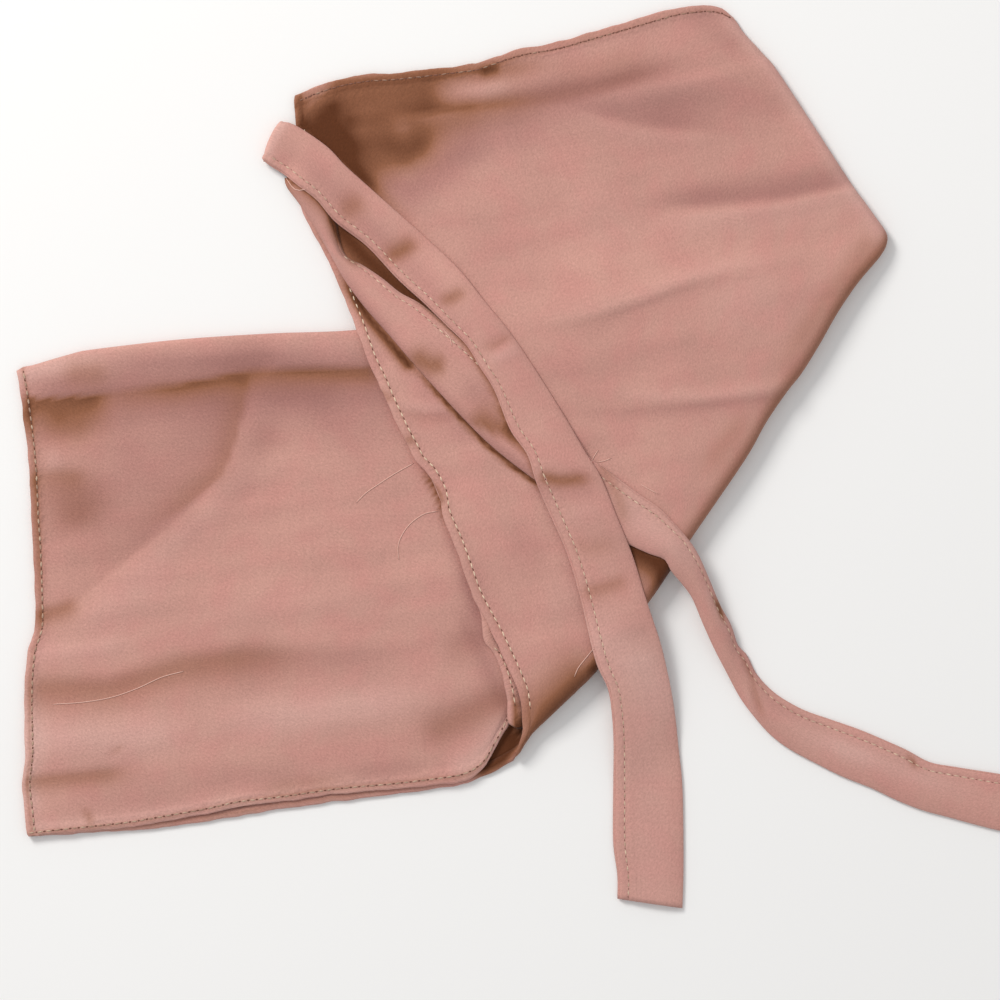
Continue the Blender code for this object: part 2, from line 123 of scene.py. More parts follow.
class Outline:
    """A layer of cloth. Shares run along from its end to the diagonal, and round from its hem to its fold."""

    def __init__(self, hem, fold, end, diagonal):
        self.hem, self.fold = smooth_curve(hem), smooth_curve(fold)
        self.end, self.diagonal = smooth_curve(end), smooth_curve(diagonal)

    def at(self, along, round_):
        a, r = along[..., None], round_[..., None]
        corners = (self.hem(0) * (1 - a) + self.hem(1) * a) * (1 - r)
        corners = corners + (self.fold(0) * (1 - a) + self.fold(1) * a) * r
        lengthways = self.hem(along) * (1 - r) + self.fold(along) * r
        crossways = self.end(round_) * (1 - a) + self.diagonal(round_) * a
        return lengthways + crossways - corners

    def depth_from(self, side):
        """How many millimetres one share is, measured squarely to a side: a smooth function along that side."""
        edge = 1.0 if side in ("fold", "diagonal") else 0.0
        shares = np.linspace(0.0, 0.97 - PROBE_STEP, 40)
        fixed, inside = np.full_like(shares, edge), np.full_like(shares, abs(edge - PROBE_DEPTH))
        pairs = (shares, fixed), (shares + PROBE_STEP, fixed), (shares, inside)
        if side in ("end", "diagonal"):
            pairs = [(along, round_) for round_, along in pairs]
        here, next_, deeper = [self.at(*pair) for pair in pairs]
        tangent, cross = next_ - here, deeper - here
        area = np.abs(tangent[:, 0] * cross[:, 1] - tangent[:, 1] * cross[:, 0])
        depth = area / np.linalg.norm(tangent, axis=1) / PROBE_DEPTH
        fit = np.polyfit(shares + PROBE_STEP / 2, np.maximum(depth, 0.6 * np.median(depth)), 3)
        return lambda share: float(np.polyval(fit, min(max(share, 0.0), 1.0)))


# %% [markdown]
# ## The wing that lies on the floor
# Its end hem and its soft fold are seen in the picture, and so is the long hem of both layers. The far side
# is hidden under the folded-over part, so there it follows the diagonal.

# %% Outlines of the wing's two layers
WING_END = laid((31, 836), (28, 834), (26, 813), (23, 786), (26, 752), (25, 698), (28, 655), (35, 633), (36, 613),
                (34, 550), (32, 522), (30, 476), (27, 441), (22, 402), (17, 371))
WING_FOLD = laid((17, 371), (24, 367), (38, 364), (73, 354), (93, 350), (180, 340), (270, 334), (360, 330),
                 (450, 315), (550, 307), (690, 287), (795, 280))
WING_HEM = laid((31, 836), (76, 832), (108, 829), (134, 826), (169, 820), (208, 813), (239, 806), (282, 801),
                (340, 793), (390, 789), (440, 784), (462, 781), (475, 775), (484, 767), (491, 755), (497, 745),
                (503, 733), (508, 724))
WING_HEM_UNDER = laid((31, 837), (76, 834), (108, 832), (152, 829), (217, 820), (280, 809), (340, 801), (440, 788),
                      (465, 783), (478, 778), (490, 773), (502, 767), (513, 760))
WING_FAR = laid((508, 724), (516, 700), (545, 655), (604, 592), (668, 527), (733, 455), (786, 363), (795, 280))
WING_FAR_UNDER = laid((513, 760), (524, 743), (532, 731), (548, 713), (586, 668), (676, 540), (733, 455),
                      (786, 363), (795, 280))
wing_layers = [
    Outline(WING_HEM, WING_FOLD, WING_END, WING_FAR),
    Outline(WING_HEM_UNDER, WING_FOLD, WING_END, WING_FAR_UNDER),
]
print("long hem of the wing", round(wing_layers[0].hem.length), "mm")

# %% [markdown]
# ## The part that is folded over the wing
# It has the same four sides. Its layers part at the hems, and most of all at the lower end of the diagonal,
# where the picture shows an open pocket.

# %% Outlines of the two layers folded over
OVER_END = laid((295, 96), (306, 92), (318, 87), (340, 80), (368, 75), (400, 73), (470, 65), (480, 63), (518, 50),
                (556, 43), (595, 32), (633, 21), (671, 10), (690, 7), (706, 6), (721, 9), (733, 18))
OVER_END_UNDER = laid((299, 98), (318, 89), (340, 82), (400, 75), (480, 65), (518, 52), (556, 45), (633, 23),
                      (690, 9), (706, 8), (721, 10), (733, 18))
OVER_FOLD = laid((733, 18), (744, 34), (763, 55), (780, 76), (848, 180), (863, 201), (876, 219), (885, 232),
                 (887, 239))
OVER_HEM = laid((295, 96), (294, 103), (296, 118), (297, 150), (297, 185), (305, 215), (329, 262), (356, 326),
                (368, 360), (379, 383), (387, 402), (402, 434), (412, 452), (415, 460), (427, 472), (435, 485),
                (440, 497), (443, 516), (455, 544), (465, 572), (475, 600), (497, 642), (518, 690), (522, 710),
                (523, 728), (520, 742), (514, 757))
OVER_HEM_UNDER = laid((299, 98), (298, 112), (301, 128), (300, 160), (301, 190), (308, 218), (331, 264), (360, 330),
                      (383, 385), (405, 433), (431, 478), (444, 510), (458, 548), (469, 580), (480, 612),
                      (484, 640), (493, 651), (499, 664), (504, 681), (507, 696), (508, 710), (508, 724))
OVER_DIAGONAL = laid((514, 757), (519, 753), (523.5, 746), (528.5, 738), (534, 731), (553, 713), (566, 700.5),
                     (577, 690), (600, 666), (648, 602), (670, 570), (688, 542), (744, 460), (765, 423), (786, 392),
                     (801, 373), (819, 344), (836, 314), (854, 287), (867, 271), (879, 257), (885, 247), (887, 239))
OVER_DIAGONAL_UNDER = laid((508, 724), (522, 728), (548, 712), (576, 686), (600, 660), (648, 596), (688, 538),
                           (744, 456), (786, 389), (836, 311), (867, 269), (883, 248), (887, 239))
over_layers = [
    Outline(OVER_HEM, OVER_FOLD, OVER_END, OVER_DIAGONAL),
    Outline(OVER_HEM_UNDER, OVER_FOLD, OVER_END_UNDER, OVER_DIAGONAL_UNDER),
]
print("long hem of the part folded over", round(over_layers[0].hem.length), "mm")

# %% [markdown]
# ## Creases and painted shade
# Thin cloth that has been folded away keeps soft troughs and ridges. They are placed one by one, each with
# its own length, height and width on either side, because a noise pattern would be far too even. The same
# rows paint light and shade into the cloth's colour: a painted brown shade where it lies deep or doubled and
# where a tie casts its shadow, a painted mauve shade where it lies in open shade, and a painted highlight
# where a ridge or an edge catches the light.

# %% What a crease does to height and to the painted shade
# Painted light that a row adds to the colour: a brown painted shade, a mauve painted shade and a pale painted
# highlight
PAINTED_LIGHT_KINDS = ("brown", "mauve", "pale")
KEPT_AT_END = 0.12
END_REACH = 0.35
Crease = namedtuple("Crease", "points left right height brown mauve pale full")


# Each row's painted shades and painted highlight are numbers from 0 to 1
def crease(left, right, height, *points, brown=0, mauve=0, pale=0, full=""):
    """left and right are half widths in millimetres. full says which end doesn't die away: start, end or both."""
    return Crease(laid(*points), left, right, height, brown, mauve, pale, full)


def ease(share):
    share = np.clip(share, 0.0, 1.0)
    return share * share * (3 - 2 * share)


def bell(distance, reach):
    """1 at no distance, easing to nothing past the reach."""
    return np.exp(-((distance / reach) ** 2))


def crease_strength(row, place):
    """How strongly a crease is felt at each place, from 0 to 1."""
    nearest = np.full(place.shape[:-1], 1e9)
    side, reached = np.zeros(place.shape[:-1]), np.zeros(place.shape[:-1])
    lengths = np.linalg.norm(np.diff(row.points, axis=0), axis=1)
    so_far = 0.0
    for start, stop, length in zip(row.points, row.points[1:], lengths):
        run = stop - start
        offset = place - start
        share = np.clip((offset @ run) / (run @ run), 0.0, 1.0)
        distance = np.linalg.norm(offset - share[..., None] * run, axis=-1)
        closer = distance < nearest
        nearest = np.where(closer, distance, nearest)
        turn = run[0] * offset[..., 1] - run[1] * offset[..., 0]
        side = np.where(closer, turn / (length * np.maximum(distance, 1e-6)), side)
        reached = np.where(closer, (so_far + share * length) / lengths.sum(), reached)
        so_far += length
    mix = np.clip(side * 0.5 + 0.5, 0.0, 1.0)
    strength = bell(nearest, row.right + (row.left - row.right) * mix)
    for end, share in (("start", reached), ("end", 1 - reached)):
        if row.full not in (end, "both"):
            strength = strength * (KEPT_AT_END + (1 - KEPT_AT_END) * ease(share / END_REACH))
    return strength


def relief(rows, place):
    """The height that the creases add at each place."""
    height = np.zeros(place.shape[:-1])
    for row in rows:
        if row.height:
            height += row.height * crease_strength(row, place)
    return height


def painted_light(rows, place):
    """How much of each painted shade and of the painted highlight there is at each place, each from 0 to 1."""
    found = np.zeros((*place.shape[:-1], len(PAINTED_LIGHT_KINDS)))
    for row in rows:
        strength = crease_strength(row, place)
        for index, tone in enumerate(PAINTED_LIGHT_KINDS):
            if getattr(row, tone):
                found[..., index] += getattr(row, tone) * strength
    return np.clip(found, 0.0, 1.0)


# %% [markdown]
# ## The creases of the wing
# The rolled ridge under the soft fold comes first, then the hollow at the left in painted brown shade, the long soft
# step across, and the bands further down. Two short rows paint a brown shade on the bottom layer inside the pocket.

# %% Creases placed on the wing
WING_CREASES = [
    # the rolled ridge under the soft fold with a painted highlight, the trough below it and the hollow at the left in
    # painted brown shade
    crease(6, 5, 0.9, (30, 378), (120, 366), (230, 354), (360, 346), pale=0.12, full="both"),
    crease(0.9, 12, -1.1, (36, 400), (60, 399), (120, 396), brown=0.72, full="start"),
    crease(6, 7, -0.5, (40, 416), (66, 428), (100, 430), brown=0.26),
    crease(0.9, 7, -0.7, (80, 395), (120, 392), (180, 386), (250, 372), (300, 370), (366, 368), brown=0.58,
           full="end"),
    crease(8, 12, 0, (240, 380), (290, 378), (350, 382), mauve=0.4),
    crease(6, 6, 0, (56, 374), (86, 373), (116, 374), brown=0.3),
    crease(3, 3, 0, (22, 404), (24, 424), (26, 444), brown=0.24),
    crease(8.5, 18, 0, (60, 392), (130, 390), (210, 386), (290, 382), (372, 376), mauve=0.8, full="both"),
    crease(4, 4, 0, (18, 376), (60, 364), (120, 356), pale=0.7, full="start"),
    crease(2, 3, -0.7, (262, 371), (320, 374), (380, 378), brown=0.12, full="end"),
    crease(4, 4, 0, (60, 364), (140, 362), (230, 358), (350, 350), mauve=0.6),
    crease(3, 3, 0, (130, 388), (180, 386), (240, 380), brown=0.16),
    crease(2.5, 3, 0, (30, 430), (34, 480), (38, 560), (38, 630), brown=0.34),
    crease(6, 6, 0, (26, 650), (28, 720), (26, 790), (30, 834), pale=0.66),
    crease(3.5, 3.5, 0, (36, 828), (108, 822), (208, 808), (300, 792), (430, 780), pale=0.45, full="start"),
    crease(1.2, 7, 0, (246, 386), (234, 440), (222, 474), (180, 508), (140, 530), brown=0.24, full="start"),
    crease(12, 12, -0.3, (46, 470), (66, 500), (84, 540), brown=0.2, mauve=0.5),
    crease(7, 9, 0.3, (60, 634), (120, 602), (190, 566), pale=0.22),
    crease(5, 5, 0.6, (44, 464), (66, 458), pale=0.3),
    crease(2.5, 5, -0.6, (36, 478), (60, 474), (92, 478), brown=0.26, full="start"),
    # the long soft step across the wing, with painted shade on its upper left
    crease(1.6, 18, -0.9, (262, 370), (250, 392), (240, 420), (226, 460), (200, 496), (148, 540), (90, 588),
           (48, 618), brown=0.05, mauve=0.36, full="start"),
    crease(6, 3.5, 0.5, (272, 384), (256, 430), (240, 474), (206, 516), (150, 562), (92, 612), pale=0.2),
    crease(12, 12, -0.3, (214, 440), (170, 470), (110, 490), mauve=0.12),
    crease(3, 5, -0.6, (36, 616), (60, 610), (84, 600), brown=0.46, full="start"),
    crease(14, 14, -0.5, (150, 420), (120, 470), (66, 540), mauve=0.32),
    crease(9, 9, 0, (60, 484), (90, 500), (70, 536), brown=0.1, mauve=0.2),
    crease(8, 7, 0, (256, 400), (260, 440), (234, 474), (200, 508), brown=0.06, mauve=0.44),
    crease(7, 7, 0, (200, 500), (180, 520), (120, 548), mauve=0.24),
    # bands further down, with painted shade in the troughs and a painted highlight on the ridges
    crease(4, 4, 0.6, (42, 652), (100, 648), (140, 640), pale=0.3, full="start"),
    crease(5, 9, -0.8, (44, 688), (110, 688), (180, 666), (250, 656), (330, 658), brown=0.38, mauve=0.12,
           full="start"),
    crease(5, 7, -0.4, (190, 664), (300, 660), (440, 654), mauve=0.4),
    crease(8, 8, 0.8, (40, 738), (120, 736), (200, 732), pale=0.62, full="start"),
    crease(8, 8, 0.5, (190, 722), (300, 714), (400, 700), (460, 688), pale=0.62),
    crease(2.4, 5, -0.7, (34, 780), (80, 776), (140, 770), brown=0.42, full="start"),
    crease(5, 4, -0.3, (170, 788), (240, 778), (330, 776), mauve=0.26),
    crease(4, 4, -0.2, (340, 776), (390, 772), (436, 766), mauve=0.28),
    crease(3, 5, 0, (26, 760), (30, 790), (40, 822), pale=0.4),
    crease(0.9, 1.4, -0.4, (108, 752), (126, 746), brown=0.2),
    crease(1.4, 1.8, -0.3, (82, 806), (90, 816), (92, 828), brown=0.32),
    crease(3, 5, -0.4, (250, 792), (300, 784), (350, 780), brown=0.18),
    crease(7, 7, -0.8, (410, 734), (440, 728), (498, 700), brown=0.28, mauve=0.4, full="end"),
    crease(5, 3.5, -0.3, (452, 600), (480, 650), (503, 700), mauve=0.5, full="end"),
    crease(7, 7, 0, (440, 650), (466, 646), (484, 628), brown=0.1, mauve=0.3),
    crease(8, 3, -0.2, (456, 560), (470, 600), (484, 636), mauve=0.3),
    crease(5, 5, 0.6, (440, 772), (472, 762), (490, 744), (500, 728), pale=0.6, full="end"),
    crease(4, 7, 0.6, (300, 455), (260, 475), (220, 492), pale=0.1),
    crease(6, 8, -0.5, (330, 512), (230, 530), (160, 556), mauve=0.1),
    crease(6, 8, 0.5, (420, 610), (300, 600), (170, 622), pale=0.1),
    crease(7, 8, -0.5, (310, 398), (350, 440), (380, 480), mauve=0.16),
    crease(5, 6, -0.3, (60, 806), (130, 798), (200, 790), mauve=0.2),
    crease(4, 1.2, -0.3, (418, 464), (434, 488), (442, 506), (448, 530), brown=0.8),
    crease(4, 2.6, 0, (440, 510), (456, 548), (470, 590), (486, 634), mauve=0.5, full="end"),
]
# the inside of the pocket, in painted deep brown shade
POCKET_CREASES = [
    crease(6, 3.6, 0, (484, 768), (500, 758), (512, 744), (518, 734), brown=1, full="both"),
    crease(5, 5, 0, (496, 752), (504, 742), (514, 730), brown=0.4, full="both"),
]
print(len(WING_CREASES), "creases on the wing,", len(POCKET_CREASES), "in its pocket")

# %% [markdown]
# ## The creases of the part folded over
# It has the hollow at the upper left in deep painted brown shade, a ridge along the top with painted shade in the
# fold above it, long folds across the right, puckers where the hem's thread pulls, and the painted shadows that the
# ties cast beside and between them.

# %% Creases placed on the part folded over
OVER_CREASES = [
    # the hollow at the upper left in deep painted brown shade, with painted highlights on its rim
    crease(8.5, 5, -1, (316, 120), (328, 136), (348, 160), (366, 182), brown=0.56, full="both"),
    crease(3.4, 3.4, 0, (296, 100), (298, 112), (302, 126), brown=0.4, full="both"),
    crease(7.5, 8, -0.6, (342, 104), (370, 100), (410, 97), (462, 95), brown=0.66, full="start"),
    crease(4, 6, 0, (304, 105), (324, 104), (344, 108), brown=0.2, full="start"),
    crease(7, 6, 0, (362, 128), (384, 134), (400, 130), brown=0.12),
    crease(3, 3, 0, (352, 122), (400, 121), (430, 118), brown=0.2, full="start"),
    crease(10, 9, -1.4, (330, 140), (370, 144), (410, 146), (456, 124), brown=0.66, full="start"),
    crease(4, 5, 0, (376, 166), (392, 170), (420, 160), brown=0.16, full="start"),
    crease(6, 7, -0.4, (400, 138), (440, 126), (500, 106), (560, 96), brown=0.36, mauve=0.5),
    crease(7, 6, -0.4, (370, 164), (410, 156), (446, 148), brown=0.2),
    crease(7, 9, -0.3, (366, 180), (410, 190), (450, 160), (500, 130), mauve=0.66, full="start"),
    crease(5, 5, -0.2, (340, 84), (380, 80), (470, 76), brown=0.3, full="start"),
    crease(4.5, 4.5, -0.2, (410, 76), (480, 74), (560, 62), brown=0.42),
    crease(5, 5, -0.3, (410, 98), (450, 104), (490, 108), brown=0.14),
    crease(2, 2.6, 0.6, (308, 99), (322, 95), (338, 92), pale=1),
    crease(3, 3, 0.6, (384, 112), (402, 94), pale=0.6),
    crease(4.5, 4.5, 0.7, (452, 92), (520, 88), pale=0.5),
    # the turned edge of the hem, which is four layers thick, in a painted brown shade, and a painted highlight along
    # the fold
    crease(2.2, 2.4, 0, (300, 97), (340, 82), (400, 75), (480, 65), (518, 52), (595, 34), (671, 12), (700, 9),
           brown=0.22, full="start"),
    crease(4, 4, 0, (733, 20), (780, 78), (848, 182), (882, 234), pale=0.5, full="both"),
    # the ridge along the top with a painted highlight, and painted shade in the fold above it
    crease(2, 6, 0.9, (345, 125), (395, 117), (450, 114), (501, 111), (557, 104), pale=0.1),
    crease(3, 2, -0.4, (352, 119), (400, 111), (450, 109), (500, 105), (548, 100), brown=0.26),
    crease(2.5, 7, 1, (557, 108), (612, 97), (680, 85), (754, 71), pale=0.1),
    crease(5, 3.5, -0.9, (496, 106), (545, 99), (600, 88), (640, 76), (690, 62), brown=0.16, mauve=0.6),
    crease(13, 14, 0, (470, 112), (560, 98), (650, 90), (740, 80), mauve=0.5),
    crease(9, 12, 0, (620, 118), (700, 106), (770, 96), mauve=0.4, full="end"),
    crease(9, 9, 0, (600, 44), (680, 26), (730, 40), mauve=0.24),
    crease(7, 7, 0, (704, 16), (728, 34), (738, 60), mauve=0.44, full="start"),
    crease(5, 5, -0.3, (540, 78), (600, 66), (660, 50), brown=0.12),
    crease(2, 3, -0.4, (476, 74), (503, 66), brown=0.4),
    crease(6, 1.6, -0.5, (553, 100), (600, 114), (640, 124), (744, 134), mauve=0.28),
    crease(2.5, 5, 0.5, (562, 112), (604, 126), (640, 136), (738, 144), pale=0.12),
    crease(8, 8, -0.3, (440, 150), (500, 140), (560, 128), mauve=0.26),
    # across the right of the panel, with painted shade and highlight, and a painted brown shade along the diagonal
    crease(7, 3, -1, (630, 206), (720, 200), (790, 193), (850, 180), mauve=0.7, full="end"),
    crease(2, 8, 0.8, (640, 222), (720, 216), (784, 208), (858, 192), pale=0.28, full="end"),
    crease(8, 8, -0.5, (640, 270), (720, 246), (810, 226), mauve=0.12),
    crease(5, 1.8, 0.8, (517, 328), (588, 316), (640, 301), (675, 285), (730, 268), (800, 256), pale=0.2),
    crease(2, 8, -0.6, (530, 336), (600, 324), (680, 294), (790, 268), mauve=0.2),
    crease(5, 7, -0.5, (600, 380), (650, 360), (700, 352), (770, 356), mauve=0.12),
    crease(3.5, 2, 0.9, (596, 394), (640, 398), (700, 399), (790, 388), pale=0.24, full="end"),
    crease(1.5, 5, -0.5, (556, 414), (620, 412), (690, 408), (788, 396), mauve=0.42, full="end"),
    crease(7, 8, 0, (520, 370), (570, 374), (640, 366), mauve=0.2),
    crease(4, 4, 0, (864, 246), (830, 292), (798, 340), (768, 384), brown=0.2, full="start"),
    crease(5, 4, 0, (752, 406), (726, 440), (696, 480), brown=0.2),
    crease(12, 14, 0, (700, 330), (740, 300), (790, 280), pale=0.2),
    crease(2.6, 1.6, 0.7, (390, 404), (424, 409), (464, 408), pale=0.25),
    crease(1.2, 4, -0.4, (398, 412), (430, 417), (462, 416), brown=0.1, mauve=0.22),
    crease(6, 8, -0.6, (500, 540), (535, 550), (556, 566), mauve=0.24),
    crease(6, 7, -0.5, (470, 548), (482, 590), (500, 620), mauve=0.22),
    crease(7, 7, 0.6, (540, 620), (560, 600), (566, 570), pale=0.14),
    crease(10, 10, -0.5, (470, 230), (520, 260), (560, 300), mauve=0.1),
    crease(10, 12, 0.6, (560, 190), (610, 220), (640, 250), pale=0.1),
    # puckers where the hem's thread pulls, each with a painted brown shade
    crease(1.4, 2, -0.35, (376, 392), (394, 399), brown=0.4),
    crease(1.4, 2, -0.35, (402, 436), (418, 444), brown=0.4),
    crease(1.6, 2.2, -0.4, (430, 480), (440, 494), (444, 508), brown=0.5),
    # the painted shadows that the ties cast beside them and between them
    crease(8, 7, -0.6, (342, 232), (362, 254), (392, 282), (424, 308), brown=1, full="both"),
    crease(2, 2.8, 0, (334, 270), (352, 292), (371, 320), (389, 341), (409, 365), brown=1, full="end"),
    crease(2.4, 1.15, 0, (400, 354), (436, 392), (461, 419), (485, 444), (509, 464), (540, 486), brown=1,
           full="end"),
    crease(3, 4.5, 0, (410, 372), (450, 414), (484, 450), mauve=0.3),
    crease(9, 7, 0, (518, 718), (546, 698), (574, 670), (596, 646), brown=0.44, full="start"),
    crease(2.2, 2.2, 0, (592, 668), (597, 656), (598, 642), brown=0.34, full="start"),
    crease(1.5, 3, 0, (538, 482), (569, 553), (593, 642), (604, 672), mauve=0.4, full="both"),
    crease(3.5, 1.5, 0, (300, 127), (332, 150), (378, 194), (420, 232), brown=0.4, full="start"),
    crease(4, 9, 0, (618, 540), (644, 554), (672, 566), brown=1, full="both"),
]
# Its bottom layer runs into the same pocket, in painted deep brown shade
UNDER_CREASES = [
    crease(2.4, 1, 0, (515, 692), (517, 710), (517, 728), brown=0.9, full="end"),
    crease(4, 4, 0, (514, 725), (522, 728), brown=1, full="end"),
]
print(len(OVER_CREASES), "creases on the part folded over,", len(UNDER_CREASES), "on its bottom layer")

# %% [markdown]
# ## The unevenness of thin cloth
# Chiffon is never quite flat: it keeps long shallow folds and small ripples, its hems stray a little from a
# smooth line, and a seam draws small crinkles into the cloth beside it. Seeded noise gives all three: without
# a seed, a noise vector would be offset by the clock.

# %% Ripples, straying hems and gathers
noise.seed_set(1)
RIPPLE_RUN = (0.985, 0.17)
LONG_RIPPLE, LONG_RIPPLE_SIZE = 0.5, (58.0, 9.0)
SMALL_RIPPLE, SMALL_RIPPLE_SIZE = 0.13, (6.5, 5.5)
STRAYING = ((7.0, 0.5, 20), (2.6, 0.16, 30))
GATHER, GATHER_SIZES = 0.42, ((3.1, 1.0, 40), (1.6, 0.5, 50))


def at_each(place, felt):
    """What a function of x and y gives at each place."""
    found = np.array([felt(x, y) for x, y in place.reshape(-1, 2)])
    return found.reshape(*place.shape[:-1], *found.shape[1:])


def ripples(place, seed):
    """The slight unevenness of cloth that isn't ironed: long shallow folds, and small ones all over."""
    (east, north), (long_run, long_cross), (wide, high) = RIPPLE_RUN, LONG_RIPPLE_SIZE, SMALL_RIPPLE_SIZE

    def felt(x, y):
        run, cross = x * east + y * north, y * east - x * north
        long_folds = noise.noise(Vector((run / long_run, cross / long_cross, seed)))
        small = noise.noise(Vector((x / wide + 9, y / high, seed + 4)))
        return LONG_RIPPLE * long_folds + SMALL_RIPPLE * small

    return at_each(place, felt)


def unevenness(place, seed):
    """How far a hem strays from a smooth line, as a hem sewn by hand or machine in thin cloth does."""

    def felt(x, y):
        slow, quick = [
            noise.noise_vector(Vector((x / size, y / size, seed + more))) * much for size, much, more in STRAYING
        ]
        return (slow + quick)[:2]

    return at_each(place, felt)


def gathers(place, seed):
    """The small crinkles that a seam draws into the cloth beside it."""

    def felt(x, y):
        return sum(much * noise.noise(Vector((x / size, y / size, seed + more))) for size, much, more in GATHER_SIZES)

    return GATHER * at_each(place, felt)


print("a long fold's height at the middle", round(float(ripples(np.zeros((1, 2)), 3.0)[0]), 2), "mm")

# %% [markdown]
# ## How high each layer lies
# Both layers rise a few millimetres off each other, because creased chiffon holds air, and sink together
# at the hems. The folded-over part rides on the wing, and slopes down to the floor past the wing's fold.

# %% Heights of the layers
STRIP_HEIGHT = 3.4
OVER_PUFF = 1.5
LAYER_GAP = 0.5
UNDER_HEIGHT = 0.35
SLOPE_START = -6.0
SLOPE_LENGTH = 34.0


def wing_top(place):
    return STRIP_HEIGHT + relief(WING_CREASES, place)


def carried(place):
    """1 where the wing carries the folded-over part, easing to 0 where that part reaches the floor."""
    fold_y = np.interp(place[..., 0], WING_FOLD[:, 0], WING_FOLD[:, 1])
    return 1 - ease((place[..., 1] - fold_y - SLOPE_START) / SLOPE_LENGTH)


def over_base(place):
    return UNDER_HEIGHT + (wing_top(place) + LAYER_GAP) * carried(place)


def over_top(place):
    return over_base(place) + STRIP_HEIGHT + OVER_PUFF * carried(place) + relief(OVER_CREASES, place)


print("the part folded over is", round(float(over_top(laid((560, 300)))[0]), 1), "mm high near its middle")

# %% [markdown]
# ## Laying a doubled sheet
# Each stretch is one thin sheet that is carried round as the real cloth is: from the turned-in hem of the
# top layer, over the surface, round the fold, back underneath, and out to the other hem. Its lines are listed
# first. Near a hem they stand close, so the narrow turning and the dent of its stitches have an edge of
# their own.

# %% The lines of a doubled sheet
HEM_WIDTH = 4.4
STITCH_INSET = 3.3
FOLD_ROUND = 2.4
DIAGONAL_ROUND = 4.2
TOP_STEP = 2.0
UNDER_STEP = 7.0
FOLD_ANGLES = (90, 68, 46, 24, 0, -24, -46, -68, -90)
DIAGONAL_ANGLES = (90, 66, 44, 22, 0, -22, -44, -66, -85)

# How far in from the edge a line of the hem lies, and how far it is below the cloth's own face
HEM_LINES = [(HEM_WIDTH, 0.55), (2.2, 0.6), (0.7, 0.58), (0.12, 0.42), (0.0, 0.2), (0.15, 0.0), (0.7, -0.1),
             (1.8, -0.1), (2.8, -0.06), (STITCH_INSET, 0.08), (3.8, -0.04), (HEM_WIDTH, 0.04), (5.2, 0.12),
             (6.6, 0.0)]
Line = namedtuple("Line", "from_side inset drop under")


def hem_lines(side, under=0.0):
    return [Line(side, inset, drop, under) for inset, drop in HEM_LINES]


def plain_lines(count, under):
    """Lines spread evenly between the ones before and after, told apart by a share instead of an inset."""
    return [Line("between", (step + 1) / (count + 1), 0.0, under) for step in range(count)]


def turn_lines(side, round_in, angles):
    """Lines round a fold, from the angle 90 on its top to -90 beneath."""
    radians = [math.radians(angle) for angle in angles]
    return [Line(side, round_in * (1 - math.cos(turn)), 0.0, (1 - math.sin(turn)) / 2) for turn in radians]


def line_shares(lines, low_scale, high_scale, low_side):
    """Each line's share of the way across, where low_scale and high_scale are one share in millimetres."""
    shares = [
        None if line.from_side == "between"
        else line.inset / low_scale if line.from_side == low_side
        else 1 - line.inset / high_scale
        for line in lines
    ]
    known = [index for index, share in enumerate(shares) if share is not None]
    for before, after in zip(known, known[1:]):
        for between in range(before + 1, after):
            shares[between] = shares[before] + (shares[after] - shares[before]) * lines[between].inset
    return np.array(shares)


print(len(HEM_LINES), "lines in a hem", HEM_WIDTH, "mm wide")

# %% [markdown]
# ## Where the lines cross
# A line along the strip and a line round it cross at one place of the floor plan. Near the hems the real
# cloth strays a little, so those crossings are shifted by the unevenness.

# %% The crossings of a doubled sheet
STRAY_REACH = 7.0
Crossings = namedtuple("Crossings", "place from_hem from_end from_diagonal beneath down drop")


def sheet_crossings(layers, rolled, seed):
    """Where the lines cross, how far that is from the edges in millimetres, and how far each line is turned."""
    top, under = layers
    length = (top.hem.length + top.fold.length) / 2
    depth = (top.end.length + top.diagonal.length) / 2
    round_lines = [
        *hem_lines("hem"),
        *plain_lines(round(depth / TOP_STEP), 0.0),
        *turn_lines("fold", FOLD_ROUND, FOLD_ANGLES),
        *plain_lines(round(depth / UNDER_STEP), 1.0),
        *reversed(hem_lines("hem", 1.0)),
    ]
    far_angles = DIAGONAL_ANGLES if rolled else (90,)
    along_lines = [
        *hem_lines("end"),
        *plain_lines(round(length / TOP_STEP), 0.0),
        *turn_lines("diagonal", DIAGONAL_ROUND if rolled else 0.0, far_angles),
    ]
    shape = (len(along_lines), len(round_lines))
    round_shares, along_shares = np.zeros(shape), np.zeros(shape)
    depths = {side: top.depth_from(side) for side in ("hem", "fold", "end", "diagonal")}
    for i, share in enumerate(line_shares(along_lines, length, length, "end")):
        round_shares[i] = line_shares(round_lines, depths["hem"](share), depths["fold"](share), "hem")
    for j, share in enumerate(line_shares(round_lines, depth, depth, "hem")):
        along_shares[:, j] = line_shares(along_lines, depths["end"](share), depths["diagonal"](share), "end")

    from_hem, from_end = round_shares * depth, along_shares * length
    beneath = np.array([line.under for line in round_lines])[None, :] * np.ones(shape)
    down = np.array([line.under for line in along_lines])[:, None] * np.ones(shape)
    drop = np.add.outer([line.drop for line in along_lines], [line.drop for line in round_lines])
    place = top.at(along_shares, round_shares) * (1 - beneath[..., None])
    place = place + under.at(along_shares, round_shares) * beneath[..., None]
    near_edge = np.minimum(bell(from_hem, STRAY_REACH) + bell(from_end, STRAY_REACH), 1.0)
    place = place + unevenness(place, seed) * near_edge[..., None]
    return Crossings(place, from_hem, from_end, length * (1 - along_shares), beneath, down, drop)


# %% [markdown]
# ## How high each crossing lies
# The two layers sink together towards the hems, but keep a least gap for the turnings between them. At the
# diagonal the sheet turns down on itself, and every hem line is dropped by its turning or its stitches.

